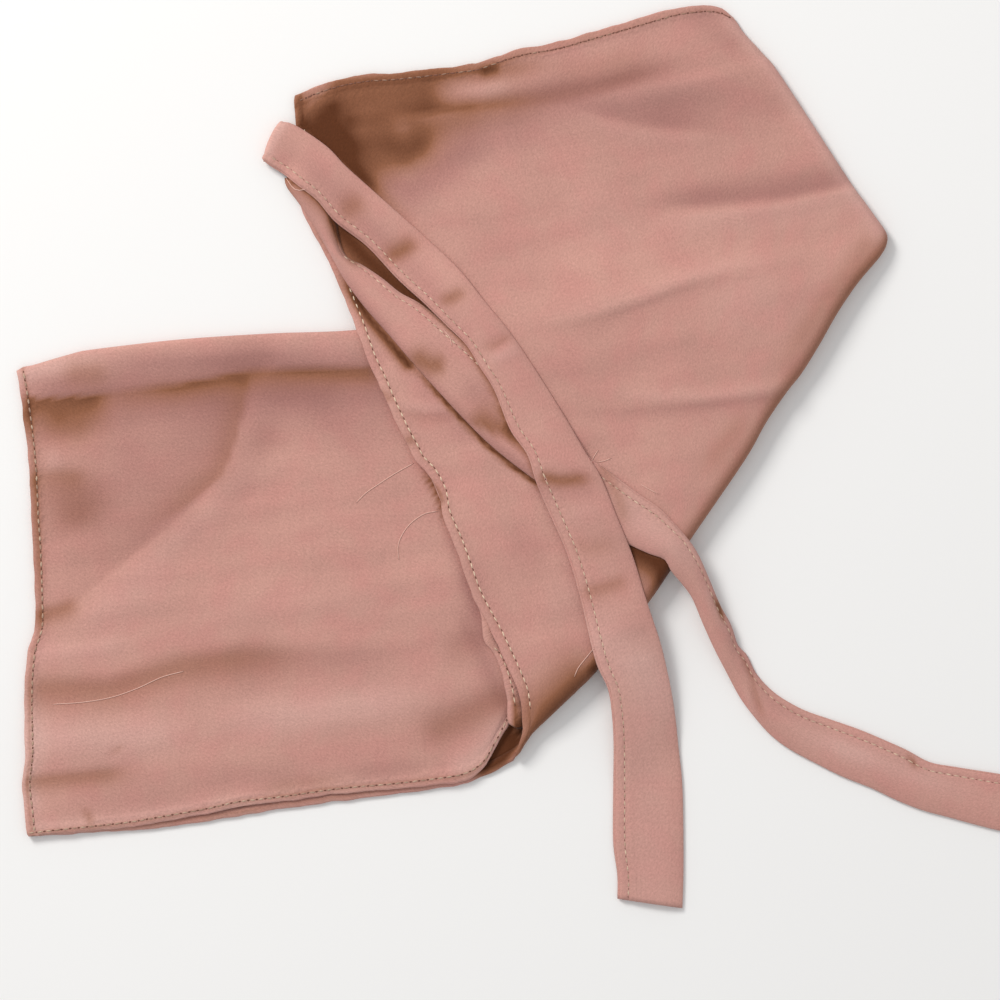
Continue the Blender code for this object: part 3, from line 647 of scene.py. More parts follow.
# %% The heights of a doubled sheet
HEM_SINK_REACH = 15.0
LEAST_GAP = 1.35
GAP_SOFTNESS = 0.35
END_LIFT = 0.55
END_LIFT_REACH = 9.0
PUCKER_REACH = 2.6
FOOT_HEIGHT = 0.6 * UNDER_HEIGHT
LEAST_HEIGHT = 0.15


def puckered(at):
    """How much the seam's thread draws the cloth together, from 0 to 1."""
    return np.minimum(
        bell(at.from_hem - STITCH_INSET, PUCKER_REACH) + bell(at.from_end - STITCH_INSET, PUCKER_REACH), 1.0
    )


def sheet_heights(at, rolled, top_height, under_height, hem_sink, seed):
    near_edge = 1 - (1 - bell(at.from_hem, HEM_SINK_REACH)) * (1 - bell(at.from_end, HEM_SINK_REACH))
    upper = top_height(at.place) - hem_sink * near_edge + ripples(at.place, seed)
    lower = under_height(at.place)
    if not rolled:
        lower = lower + END_LIFT * bell(at.from_diagonal, END_LIFT_REACH)
    upper = upper + gathers(at.place, seed) * puckered(at)
    parted = np.clip((upper - lower - LEAST_GAP) / GAP_SOFTNESS, -30, 30)
    upper = lower + LEAST_GAP + GAP_SOFTNESS * np.log1p(np.exp(parted))
    height = lower + (upper - lower) * (1 - at.beneath)
    if rolled:
        foot = lower * at.beneath + FOOT_HEIGHT * (1 - at.beneath)
        height = height + (foot - height) * at.down
    return np.maximum(height - at.drop * (1 - 2 * at.beneath), LEAST_HEIGHT)


# %% [markdown]
# ## Its painted shade
# The painted shade and highlight of the creases are gathered for the top and for what shows of the bottom layer. A
# row of stitches gets a faint painted shade along its groove, and painted shade darkens the cloth where it rolls down
# at the diagonal.

# %% The painted shade of a doubled sheet
# How wide the painted shade along a seam's groove is, and the painted shade where the cloth rolls down at the
# diagonal
GROOVE_SHADE_HALF = 0.8
DIAGONAL_SHADE = 0.7
DIAGONAL_SHADE_REACH = 7.5
TURNED_SHADE = 0.15
TURNED_REACH = 0.3


def sheet_painted_light(at, rolled, creases, under_creases, seam_inset, seam_shade):
    beneath = at.beneath[..., None]
    tone = painted_light(creases, at.place) * (1 - beneath) + painted_light(under_creases, at.place) * beneath
    # painted shade along the groove of the stitches
    groove_shade = bell(at.from_hem - seam_inset, GROOVE_SHADE_HALF) + bell(at.from_end - seam_inset, GROOVE_SHADE_HALF)
    tone[..., 0] = np.clip(tone[..., 0] + seam_shade * np.minimum(groove_shade, 1.0), 0.0, 1.0)
    # painted shade where the cloth rolls down at the diagonal, a little less on the part turned under
    if rolled:
        shade = DIAGONAL_SHADE * (1 - at.beneath) * bell(at.from_diagonal, DIAGONAL_SHADE_REACH)
        turned = 1 - TURNED_SHADE * ease(at.down / TURNED_REACH)
        tone[..., 0] = np.clip(tone[..., 0] + shade * turned, 0.0, 1.0)
    return tone


# %% [markdown]
# ## Cloth from rows of places
# Veil and ties are made in the same way. A bmesh grid is laid with one vertex on each crossing. Each vertex
# keeps its painted shade and highlight and how puckered it is, and a map unrolled in metres lets the weave run
# with the cloth. The sheet then gets its thickness, half to each side.

# %% A grid of places turned into cloth
def cloth_grid(places, tone, pucker, run, reach):
    """A bmesh with a vertex on each of the places in millimetres, and the row and column of each vertex."""
    rows, columns = places.shape[:2]
    mesh = bmesh.new()
    bmesh.ops.create_grid(mesh, x_segments=rows - 1, y_segments=columns - 1, size=0.5)
    # the painted shade and highlight in red, green and blue, and how puckered the cloth is in alpha
    tone_layer = mesh.verts.layers.float_color.new("tone")
    cloth_map = mesh.loops.layers.uv.new("cloth")
    crossing = {}
    for vert in mesh.verts:
        i, j = round((vert.co.x + 0.5) * (rows - 1)), round((vert.co.y + 0.5) * (columns - 1))
        crossing[vert.index] = (i, j)
        vert.co = Vector(places[i, j]) * MM
        vert[tone_layer] = (*tone[i, j], pucker[i, j])
    for face in mesh.faces:
        for loop in face.loops:
            i, j = crossing[loop.vert.index]
            loop[cloth_map].uv = (run[i, j] * MM, reach[i, j] * MM)
    return mesh, crossing


def as_object(name, mesh):
    """The finished bmesh as a smooth object of the scene."""
    data = bpy.data.meshes.new(name)
    mesh.to_mesh(data)
    mesh.free()
    data.shade_smooth()
    made = bpy.data.objects.new(name, data)
    bpy.context.scene.collection.objects.link(made)
    print(name, "has", len(data.polygons), "faces")
    return made


def thicken(sheet, thickness):
    wall = sheet.modifiers.new("cloth", "SOLIDIFY")
    wall.thickness = thickness * MM
    wall.offset = 0.0


# %% [markdown]
# ## The two stretches of the veil
# The steps above make the wing and the part folded over it. Where two turnings would lie in one another at a
# corner, the inner one is cut away, as a maker trims it to lose bulk.

# %% The wing and the part folded over it
VEIL_THICKNESS = 0.35
CORNER_LINES = 4


def cut_corners(mesh, crossing, last):
    def turned_in(face):
        along, round_ = zip(*[crossing[vert.index] for vert in face.verts])
        return max(along) <= CORNER_LINES and (max(round_) <= CORNER_LINES or min(round_) >= last - CORNER_LINES)

    bmesh.ops.delete(mesh, geom=[face for face in mesh.faces if turned_in(face)], context="FACES")


def doubled_sheet(name, layers, top_height, under_height, creases, under_creases, hem_sink, rolled, seam, seed):
    """The cloth of a doubled stretch as one sheet. rolled says whether it turns down at the diagonal, and seam
    is how far in its row of stitches lies and how much painted shade its groove gets."""
    at = sheet_crossings(layers, rolled, seed)
    height = sheet_heights(at, rolled, top_height, under_height, hem_sink, seed)
    tone = sheet_painted_light(at, rolled, creases, under_creases, *seam)
    places = np.dstack([at.place, height])
    run, reach = [
        np.insert(np.cumsum(np.linalg.norm(np.diff(places, axis=axis), axis=-1), axis=axis), 0, 0.0, axis=axis)
        for axis in (0, 1)
    ]
    mesh, crossing = cloth_grid(places, tone, puckered(at), run, reach)
    cut_corners(mesh, crossing, places.shape[1] - 1)
    sheet = as_object(name, mesh)
    thicken(sheet, VEIL_THICKNESS)
    return sheet


wing = doubled_sheet(
    "wing", wing_layers, wing_top, lambda place: np.full(place.shape[:-1], UNDER_HEIGHT),
    WING_CREASES, POCKET_CREASES, 1.5, False, (2.4, 0.3), 3.0,
)
over = doubled_sheet(
    "over", over_layers, over_top, over_base, OVER_CREASES, UNDER_CREASES, 3.2, True, (3.1, 0.14), 11.0
)

# %% [markdown]
# ## The path of a tie
# A tie is led along the two edges that the picture shows, and rests on whatever cloth lies under it. It is
# probed at several places across, because a folded strip is stiff: it bridges small gaps and comes down
# gently, and only where it is sewn down does it fall more steeply.

# %% Where a tie runs and what it rests on
# The edges' picture points: the stitched one's two numbers, then the folded one's
TIE_UPPER = [
    (266, 160.5, 283.5, 122.5), (272, 165, 291, 124), (285, 173, 304, 131), (300, 185, 328, 148),
    (318, 199, 345, 166), (337, 221, 366, 185), (368, 245, 395, 211), (399, 278, 430, 242), (425, 302, 459, 270),
    (448, 325, 486, 304), (468, 345, 506, 328), (481, 366, 523, 352), (496, 390, 540, 378), (512, 429, 566, 420),
    (529, 454, 585, 453), (538, 481, 600, 477), (553, 516, 615, 514), (569, 553, 632, 556), (582, 596, 645, 598),
    (593, 642, 659, 640), (600, 666, 666, 668), (610, 688, 671, 692), (614, 712, 675, 718), (616, 742, 678, 746),
    (616, 790, 682, 786), (616, 842, 683, 836), (620, 875, 683, 876), (620, 899, 682, 908),
]
TIE_LOWER = [
    (320, 176, 285, 178), (322, 188, 287, 187), (325, 200, 299, 203), (331, 214, 311, 221), (336, 224, 321, 238),
    (338, 236, 328, 250), (345, 256, 335, 262), (362, 266, 345, 280), (382, 280, 360, 301), (399, 294, 374, 318),
    (420, 306, 392, 338), (444, 326, 412, 362), (470, 348, 438, 391), (497, 373, 463, 418), (524, 400, 487, 442),
    (550, 427, 511, 462), (572, 446, 540, 484), (594, 464, 572, 510), (612, 477, 600, 529), (635, 494, 624, 542),
    (658, 510, 648, 553), (674, 526, 664, 559), (688, 542, 671, 571), (698, 558, 682, 584), (708, 580, 692, 598),
    (719, 606, 703, 624), (730, 626, 714, 648), (737, 646, 726, 671), (746, 656, 740, 697), (755, 674, 754, 716),
    (768, 689, 768, 732), (782, 700, 781, 743), (804, 712, 795, 752), (832, 722, 816, 763), (860, 732, 842, 776),
    (886, 743, 872, 788), (906, 752, 897, 800), (929, 764, 923, 810), (955, 769, 949, 817), (998, 776, 990, 828),
    (1045, 784, 1036, 838),
]
TIE_WIDTH = 25.0
TIE_STEP = 2.2
TIE_SLOPE = 0.16
SEWN_SLOPE = 0.7
SEWN_ROWS = 14.0
TIE_PROBES = np.linspace(-0.05, 1.05, 8)
UP, DOWN = Vector((0, 0, 1)), Vector((0, 0, -1))
HIGH_ABOVE, FAR_BELOW = 1000, -50


def trees_of(*objects):
    graph = bpy.context.evaluated_depsgraph_get()
    return [BVHTree.FromObject(obj, graph) for obj in objects]


def cloth_below(trees, x, y):
    """The height of the cloth under a floor place, or 0 on the bare floor."""
    found = [tree.ray_cast(Vector((x, y, HIGH_ABOVE)) * MM, DOWN)[0] for tree in trees]
    return max((hit.z / MM for hit in found if hit is not None), default=0.0)


def tie_edges(rows):
    """The stitched and the folded edge as curves."""
    return [smooth_curve(laid(*[row[first : first + 2] for row in rows])) for first in (0, 2)]


def tie_path(rows, trees):
    """Pairs of edge places along a tie, and the height on which each probe across it rests."""
    stitched, folded = tie_edges(rows)
    shares = np.linspace(0, 1, round((stitched.length + folded.length) / 2 / TIE_STEP) + 1)
    near, far = stitched(shares), folded(shares)
    probes = near[:, None] * (1 - TIE_PROBES[None, :, None]) + far[:, None] * TIE_PROBES[None, :, None]
    return near, far, np.array([[cloth_below(trees, *place) for place in row] for row in probes])


def rested(rest):
    """The cloth's height under a tie, bridged and eased down, more steeply for the first rows, at the sewn end."""
    rows, columns = rest.shape
    padded = np.pad(rest, ((0, 0), (1, 1)), mode="edge")
    wide = np.max([padded[:, j : j + columns] for j in range(3)], axis=0)
    apart = np.abs(np.arange(rows)[:, None] - np.arange(rows)[None, :]) * TIE_STEP
    slope = SEWN_SLOPE + (TIE_SLOPE - SEWN_SLOPE) * ease(np.arange(rows) / SEWN_ROWS)
    high = np.max(wide[None, :, :] - (apart * slope[:, None])[..., None], axis=1)
    padded = np.pad(high, ((2, 2), (1, 1)), mode="edge")
    return np.mean([padded[i : i + rows, j : j + columns] for i in range(5) for j in range(3)], axis=0)


print("the lower tie's stitched edge is", round(tie_edges(TIE_LOWER)[0].length), "mm long")

# %% [markdown]
# ## The section of a tie
# A tie is a strip folded lengthwise, with its raw edges turned in and topstitched along one side. Its
# section is drawn once, as the cloth runs: in at the turning, round the stitched edge, over the top, round
# the fold, back below and in again. Leading it through stations along the path gives the cloth.

# %% The tie's cloth led along its path
TIE_THICKNESS = 0.3
NARROW_SHARE = 0.9
NARROW_BULGE = 3.0
BULGE_LEVEL = 1.9
TIE_PUCKER_REACH = 3.0

# The section: how far each point stands in from the stitched edge, and how high above what it rests on
TIE_SECTION = [
    (4.6, 0.78), (2.4, 0.8), (0.6, 0.78), (0.1, 0.92), (0.0, 1.08), (0.2, 1.26), (0.8, 1.38), (1.8, 1.42),
    (2.7, 1.36), (3.3, 1.14), (3.9, 1.36), (5.0, 1.52), (7.0, 1.68), (10.0, 1.84), (13.5, 1.92), (17.0, 1.86),
    (20.0, 1.7), (22.5, 1.4), (24.0, 1.04), (24.8, 0.74), (25.0, 0.54), (24.7, 0.36), (23.8, 0.24), (20.0, 0.2),
    (13.0, 0.2), (6.0, 0.2), (4.4, 0.2), (3.3, 0.28), (2.2, 0.2), (0.2, 0.18), (-0.7, 0.26), (-0.95, 0.42),
    (-0.6, 0.56), (0.4, 0.56), (4.2, 0.56),
]
# Which of its points creases may lift, and which take their painted shade and highlight
LIFTED = range(3, 21)
TONED = (*range(3, 23), *range(28, 34))


def tie_sheet(name, stations, creases):
    """A tie through stations of (stitched edge, folded edge, rest heights, up), all in millimetres."""
    count, around = len(stations), len(TIE_SECTION)
    places, plan = np.zeros((count, around, 3)), np.zeros((count, around, 2))
    for i, (near, far, rest, up) in enumerate(stations):
        crowd = max(0.0, 1 - np.linalg.norm(far - near) / (TIE_WIDTH * NARROW_SHARE))
        for j, (inset, height) in enumerate(TIE_SECTION):
            share = inset / TIE_WIDTH
            plan[i, j] = near + (far - near) * share
            arch = math.sin(math.pi * min(max(share, 0.0), 1.0))
            bulge = NARROW_BULGE * crowd * arch * height / BULGE_LEVEL * max(up[2], 0.0)
            out = (height + bulge) * np.array(up)
            places[i, j] = (*(plan[i, j] + out[:2]), np.interp(share, TIE_PROBES, rest) + out[2])
    facing = np.array([max(station[3][2], 0.0) for station in stations])
    lifted, toned = [np.array([float(j in chosen) for j in range(around)]) for chosen in (LIFTED, TONED)]
    places[..., 2] += relief(creases, plan) * lifted[None, :] * facing[:, None]
    tone = painted_light(creases, plan) * toned[None, :, None] * facing[:, None, None]
    insets = np.array(TIE_SECTION)[:, 0]
    pucker = np.broadcast_to(bell(insets - STITCH_INSET, TIE_PUCKER_REACH), (count, around))

    middles = np.array([near + far for near, far, rest, up in stations]) / 2
    run = np.insert(np.cumsum(np.linalg.norm(np.diff(middles, axis=0), axis=1)), 0, 0.0)
    reach = np.insert(np.cumsum(np.linalg.norm(np.diff(np.array(TIE_SECTION), axis=0), axis=1)), 0, 0.0)
    mesh, _ = cloth_grid(
        places, tone, pucker,
        np.broadcast_to(run[:, None], (count, around)), np.broadcast_to(reach, (count, around)),
    )
    sheet = as_object(name, mesh)
    thicken(sheet, TIE_THICKNESS)
    print(name, "is", round(run[-1]), "mm long")
    return sheet


# %% [markdown]
# ## The creases of the ties
# The long side of each fold lies in painted shade. It comes with the small dents where a tie bends, bunches or
# crosses, each in painted brown shade, with the painted shadow that the upper tie casts on the lower one, and with
# painted highlights where a tie lies in full light.

# %% Creases placed on the ties
LOWER_CREASES = [
    crease(2.4, 3, -0.2, (340, 284), (380, 328), (430, 384), (470, 426), (540, 484), mauve=0.6, full="both"),
    crease(4.4, 4.4, -0.5, (420, 360), (432, 366), (450, 364), brown=0.6, full="start"),
    crease(7.5, 1.6, -0.5, (462, 416), (488, 428), (518, 442), brown=0.62, full="end"),
    crease(5, 5, 0, (456, 384), (490, 398), (500, 410), mauve=0.4),
    crease(4, 6, 0, (338, 276), (360, 306), (400, 348), mauve=0.4, full="start"),
    crease(1.6, 1.6, 0, (284, 176), (300, 184), (320, 201), (341, 227), brown=0.75, full="both"),
    crease(3, 2.6, 0, (286, 180), (304, 194), (326, 214), (340, 236), brown=0.26, full="both"),
    crease(5, 5, 0, (296, 198), (314, 226), (330, 256), mauve=0.3, full="start"),
    crease(1.2, 1.7, 0, (420, 300), (448, 326), (468, 346), (481, 367), (496, 392), (512, 430), (530, 456),
           (540, 482), brown=0.62, full="both"),
    crease(1.3, 1.3, 0, (286, 188), (300, 210), (312, 229), (330, 258), brown=0.5, full="start"),
    crease(7, 7, 0, (604, 492), (640, 520), (690, 556), (700, 590), pale=0.5, full="start"),
    crease(5, 5, 0, (760, 700), (810, 736), (930, 780), (1000, 800), pale=0.5),
    crease(3.4, 2.4, -0.2, (335, 222), (342, 240), (354, 258), brown=1, full="both"),
    crease(1, 1.2, -0.6, (712, 594), (719, 608), (724, 624), brown=0.8),
    crease(0.9, 1, -0.3, (738, 650), (747, 668), (756, 686), brown=0.3),
    crease(3, 3, 0, (604, 470), (618, 500), (626, 530), brown=0.3, full="start"),
    crease(2, 1.6, 0.7, (698, 578), (714, 608), (730, 640), pale=0.4),
    crease(1, 2.4, -0.7, (750, 676), (758, 700), (766, 722), brown=0.24),
    crease(1.6, 1.4, 0.4, (744, 680), (750, 702), (760, 724), pale=0.3),
    crease(1, 1.6, -0.4, (908, 753), (913, 761), (918, 770), brown=0.45),
    crease(4, 4, -0.3, (626, 500), (640, 530), mauve=0.2),
    crease(4, 4, 0.3, (820, 735), (850, 752), (884, 764), pale=0.3),
    crease(1.6, 3, 0, (696, 560), (720, 606), (740, 652), (768, 700), (860, 744), mauve=0.3),
]
UPPER_CREASES = [
    crease(5, 5, -0.5, (336, 214), (350, 209), (366, 196), brown=0.4),
    crease(4.4, 3.4, -0.5, (380, 260), (398, 254), (422, 240), brown=0.62),
    crease(2.8, 2.8, -0.5, (436, 303), (450, 300), (468, 290), brown=0.48),
    crease(2.6, 2.8, -0.6, (546, 478), (560, 481), (594, 478), brown=0.62, full="start"),
    crease(5, 4, 0, (300, 160), (360, 218), (430, 290), (480, 350), mauve=0.36),
    crease(5, 5, 0, (270, 150), (300, 166), (330, 190), mauve=0.3),
    crease(12, 12, 0, (600, 640), (640, 660), (670, 690), pale=0.5, full="both"),
    crease(14, 14, 0, (640, 690), (648, 800), (650, 905), pale=0.3, full="both"),
    crease(6, 6, 0, (550, 484), (600, 484), mauve=0.5, full="start"),
    crease(3, 4, -0.3, (566, 540), (590, 548), (620, 540), brown=0.16),
    crease(2.4, 4, -0.4, (590, 590), (606, 586), (630, 576), brown=0.34, full="start"),
    crease(2.8, 4, -0.4, (612, 640), (634, 634), (656, 626), mauve=0.2),
    crease(1.4, 2.6, 0.5, (484, 362), (502, 356), (524, 344), pale=0.4),
    crease(2.4, 1.2, -0.4, (480, 352), (498, 345), (516, 335), brown=0.25),
    crease(5, 6, -0.3, (640, 720), (648, 790), (650, 850), mauve=0.12),
    crease(3, 4, 0.3, (558, 520), (580, 512), (606, 506), pale=0.2),
    crease(3, 4, 0.3, (612, 668), (640, 660), (664, 652), pale=0.2),
    crease(1.8, 3, 0, (266, 152), (272, 136), (282, 122), pale=0.95, full="both"),
    crease(5, 5, 0, (300, 150), (330, 176), (370, 214), mauve=0.2),
]
print(len(LOWER_CREASES), "creases on the lower tie,", len(UPPER_CREASES), "on the upper one")

# %% [markdown]
# ## The lower tie
# It lies on the veil first, so it is laid first. The picture cuts it off at the right, where it simply ends.

# %% The lower tie laid on the veil
TIE_LIFT = 0.12
UPRIGHT = (0.0, 0.0, 1.0)

near, far, rest = tie_path(TIE_LOWER, trees_of(wing, over))
rest = rested(rest) + TIE_LIFT
tie_lower = tie_sheet("tie_under", [(*station, UPRIGHT) for station in zip(near, far, rest)], LOWER_CREASES)

# %% [markdown]
# ## The upper tie
# It crosses over the lower one, and its start is turned back over its sewn end. So its stations begin upside
# down on the floor, turn over in ten steps, and then run on along the path.

# %% The upper tie laid on the lower one
TIE_END_ROWS = [laid(*row) for row in (
    ((294, 171), (296, 128)), ((280, 166), (288, 124)), ((266, 160.5), (283.5, 122.5)),
)]
TURN_LEVEL = 2.05
TURN_GAP = 0.5
START_ROWS = 9.0
START_STEP = 3.0


def turned_back(first_rest):
    """Stations of the tie's start, which lies upside down on the floor and then turns over."""
    flat = np.full(len(TIE_PROBES), TURN_LEVEL)
    stations = []
    for row, next_row in zip(TIE_END_ROWS, TIE_END_ROWS[1:]):
        for share in (0.0, 0.25, 0.5, 0.75):
            stations.append((*(row + (next_row - row) * share), flat, (0, 0, -1.0)))
    near, far = TIE_END_ROWS[-1]
    out = (near + far - TIE_END_ROWS[0][0] - TIE_END_ROWS[0][1]) / 2
    out = out / np.linalg.norm(out)
    for angle in range(0, 181, 20):
        outwards, upwards = math.sin(math.radians(angle)), -math.cos(math.radians(angle))
        along = out * TURN_GAP / 2 * outwards
        level = flat + (first_rest - TURN_LEVEL) / 2 * (1 + upwards)
        stations.append((near + along, far + along, level, (*(out * outwards), upwards)))
    return stations


near, far, rest = tie_path(TIE_UPPER, trees_of(wing, over, tie_lower))
rest = rested(rest) + TIE_LIFT
start = TURN_LEVEL + TURN_GAP
started = (1 - ease(np.arange(len(near)) / START_ROWS)[:, None]) * (rest < start + START_STEP)
rest = np.maximum(start, rest) * started + rest * (1 - started)
stations = turned_back(rest[0]) + [(*station, UPRIGHT) for station in zip(near[1:], far[1:], rest[1:])]
tie_upper = tie_sheet("tie_on_top", stations, UPPER_CREASES)

# %% [markdown]
# ## Stitches
# Every hem and the open edge of each tie are sewn with a straight lockstitch. A stitch is a short raised
# dash of thread, and between two of them lies a dark flat dent, the painted shade of the hole the needle left.
# Each is a sphere of few faces that is stretched along the seam and dropped on the cloth, and all those of a
# piece are joined in one mesh.

# %% Stitches dropped on the cloth
STITCH_PITCH = 3.4
STITCH_HALF = (1.15, 0.25, 0.17)
STITCH_RISE = 0.05
STITCH_TILT = 0.16
STITCH_STRETCH = (0.88, 1.08)
STITCH_MOTTLE = 0.2
# The flat dark dent is the painted shade in a needle hole
DENT_HALF = (0.55, 0.33, 0.07)


def hem_path(layer, side, inset, start=0.0, stop=1.0):
    """Floor places a stitch apart, along a side of a layer and at a distance in from its edge."""
    depth = layer.depth_from(side)
    count = round(getattr(layer, side).length * (stop - start) / STITCH_PITCH)
    shares = np.linspace(start, stop, count + 1)
    inward = np.array([inset / depth(share) for share in shares])
    return layer.at(shares, inward) if side == "hem" else layer.at(inward, shares)


def dropped(tree, x, y, below):
    """The place and the normal where the cloth is met from above, or from below."""
    start = Vector((x, y, FAR_BELOW if below else HIGH_ABOVE)) * MM
    place, normal = tree.ray_cast(start, UP if below else DOWN)[:2]
    if place is None:
        return None
    return place, (normal if (normal.z > 0) != below else -normal)


def dash(mesh, place, along, normal, half, material, paleness, pale_layer):
    along = (along - normal * along.dot(normal)).normalized()
    across = normal.cross(along)
    turn = Matrix((along, across, normal)).transposed().to_4x4()
    matrix = Matrix.Translation(place) @ turn @ Matrix.Diagonal((*[size * MM for size in half], 1))
    made = bmesh.ops.create_uvsphere(mesh, u_segments=6, v_segments=4, radius=1.0, matrix=matrix)["verts"]
    for vert in made:
        vert[pale_layer] = paleness
    for face in {face for vert in made for face in vert.link_faces}:
        face.material_index = material


def sewn(name, piece, rows, seed):
    """The stitches of a piece. A row is its path, its thread's paleness and thickness, its dents' size, and
    whether it is beneath."""
    chance = random.Random(seed)
    tree = trees_of(piece)[0]
    joined = bmesh.new()
    joined.verts.layers.float.new("paleness")
    row_data = bpy.data.meshes.new("row of stitches")
    for path, paleness, thick, dent_size, below in rows:
        mesh = bmesh.new()
        pale_layer = mesh.verts.layers.float.new("paleness")
        for before, after in zip(path, path[1:]):
            hit, dent = dropped(tree, *((before + after) / 2), below), dropped(tree, *after, below)
            if hit is None or dent is None:
                continue
            along = Vector((*(after - before), 0)).normalized()
            tilt = chance.uniform(-STITCH_TILT, STITCH_TILT)
            along = Vector((along.x - along.y * tilt, along.y + along.x * tilt, (dent[0].z - hit[0].z) / MM * 0.5))
            stretch = chance.uniform(*STITCH_STRETCH)
            half = (STITCH_HALF[0] * stretch, STITCH_HALF[1] * thick, STITCH_HALF[2] * (0.5 + thick / 2))
            shade = min(max(paleness + chance.uniform(-STITCH_MOTTLE, STITCH_MOTTLE), 0.0), 1.0)
            dash(mesh, hit[0] + hit[1] * STITCH_RISE * MM, along, hit[1], half, 0, shade, pale_layer)
            # a dark flat dent: the painted shade of the needle hole
            dash(mesh, dent[0], along, dent[1], [size * dent_size for size in DENT_HALF], 1, 0.0, pale_layer)
        mesh.to_mesh(row_data)
        mesh.free()
        joined.from_mesh(row_data)
    bpy.data.meshes.remove(row_data)
    return as_object(name, joined)


# %% [markdown]
# ## The seams
# The wing's rows lie a little nearer the edge than the others. Each seam has its own thread: cream on the long
# hem, nearly the cloth's rose along the top, and in between on the ties. Those beneath have the same stitches.

# %% Seams of the veil and of the ties
TIE_PITCH = 0.94 * STITCH_PITCH
SEAM_START, SEAM_STOP = 0.004, 0.996
wing_top_layer, wing_under_layer = wing_layers
over_top_layer, over_under_layer = over_layers
wing_stitches = sewn("wing_stitches", wing, [
    (hem_path(wing_top_layer, "hem", 2.2), 0.42, 1.3, 1.1, False),
    (hem_path(wing_top_layer, "end", 2.9, 0.01, 0.99), 0.42, 1.7, 1.0, False),
    (hem_path(wing_under_layer, "hem", STITCH_INSET), 0.5, 1.0, 0.9, True),
    (hem_path(wing_under_layer, "end", STITCH_INSET, 0.01, 0.96), 0.5, 1.4, 0.9, True),
], 5)
over_stitches = sewn("over_stitches", over, [
    (hem_path(over_top_layer, "hem", STITCH_INSET, 0.05, 0.94), 1.0, 1.25, 1.1, False),
    (hem_path(over_top_layer, "end", 2.6, 0.01, 0.98), 0.05, 1.1, 1.0, False),
    (hem_path(over_under_layer, "hem", 3.0, 0.87, 0.965), 0.8, 1.2, 1.0, False),
    (hem_path(over_under_layer, "hem", STITCH_INSET, 0.01, 0.99), 0.8, 1.2, 1.0, True),
    (hem_path(over_under_layer, "end", STITCH_INSET, 0.01, 0.98), 0.3, 1.2, 1.0, True),
], 6)


def tie_seam(rows, start=SEAM_START):
    stitched, folded = tie_edges(rows)
    shares = np.linspace(start, SEAM_STOP, round(stitched.length * (1 - start) / TIE_PITCH))
    return stitched(shares) + (folded(shares) - stitched(shares)) * STITCH_INSET / TIE_WIDTH


tie_under_stitches = sewn("tie_under_stitches", tie_lower, [
    (tie_seam(TIE_LOWER, 0.085), 0.75, 1.25, 0.8, False), (tie_seam(TIE_LOWER), 0.6, 1.2, 0.8, True),
], 7)
tie_on_top_stitches = sewn("tie_on_top_stitches", tie_upper, [
    (tie_seam(TIE_UPPER), 0.66, 1.3, 0.8, False), (tie_seam(TIE_UPPER), 0.6, 1.2, 0.8, True),
], 8)

# %% [markdown]
# ## Loose threads
# Cut chiffon frays, and a few long threads have come to lie on the veil. Each is a fine tube of five sides,
# led over the cloth point by point.

# %% Loose threads laid on the cloth
THREAD_RADIUS = 0.16
THREAD_END = 0.45
THREAD_STEP = 1.6
LOOSE_THREADS = [
    [(53, 704), (83, 702), (112, 697), (138, 688), (162, 677), (184, 671)],
    [(356, 503), (366, 493), (379, 484), (396, 473), (414, 463)],
    [(399, 560), (398, 548), (401, 537), (410, 524), (424, 514), (438, 511)],
    [(591, 462), (594, 456), (598, 450)],
    [(597, 462), (604, 461), (611, 458)],
    [(594, 647), (585, 658), (578, 667), (574, 676)],
    [(286, 178), (294, 189), (302, 191), (309, 188)],
    [(444, 331), (450, 338), (452, 347)],
    [(640, 484), (648, 489), (658, 494)],
]


def loose_threads(name, paths, trees):
    mesh = bmesh.new()
    turn_layer = mesh.verts.layers.float.new("turn")
    for points in paths:
        curve = smooth_curve(laid(*points))
        shares = np.linspace(0, 1, max(6, round(curve.length / THREAD_STEP)))
        spots = [Vector((*place, cloth_below(trees, *place) + THREAD_RADIUS)) for place in curve(shares)]
        made = bmesh.ops.create_circle(mesh, cap_ends=True, radius=1.0, segments=5)["verts"]
        for vert in made:
            vert[turn_layer] = math.atan2(vert.co.y, vert.co.x)
        face = made[0].link_faces[0]
        for index, spot in enumerate(spots):
            if index:
                grown = bmesh.ops.extrude_face_region(mesh, geom=[face])["geom"]
                old_face, face = face, next(item for item in grown if isinstance(item, bmesh.types.BMFace))
                if index > 1:
                    bmesh.ops.delete(mesh, geom=[old_face], context="FACES_ONLY")
            ahead = spots[min(index + 1, len(spots) - 1)] - spots[max(index - 1, 0)]
            side = Vector((-ahead.y, ahead.x, 0)).normalized()
            radius = THREAD_RADIUS * (THREAD_END if index in (0, len(spots) - 1) else 1.0)
            for vert in face.verts:
                angle = vert[turn_layer]
                vert.co = (spot + (side * math.cos(angle) + UP * math.sin(angle)) * radius) * MM
    bmesh.ops.recalc_face_normals(mesh, faces=mesh.faces[:])
    return as_object(name, mesh)


threads = loose_threads("loose_threads", LOOSE_THREADS, trees_of(wing, over, tie_lower, tie_upper))

# %% [markdown]
# ## Nodes
# All finishes are built from the same few nodes, so each gets a short name here. An input is either given a
# value or linked to the socket that gives it.

# %% Short names for the nodes
def feed(tree, node, inputs):
    """Each input gets its value, or is linked to the socket that gives it."""
    for key, value in inputs.items():
        if isinstance(value, bpy.types.NodeSocket):
            tree.links.new(value, node.inputs[key])
        else:
            node.inputs[key].default_value = value


def add(tree, kind, inputs=None, **settings):
    node = tree.nodes.new("ShaderNode" + kind)
    for setting, value in settings.items():
        setattr(node, setting, value)
    feed(tree, node, inputs or {})
    return node


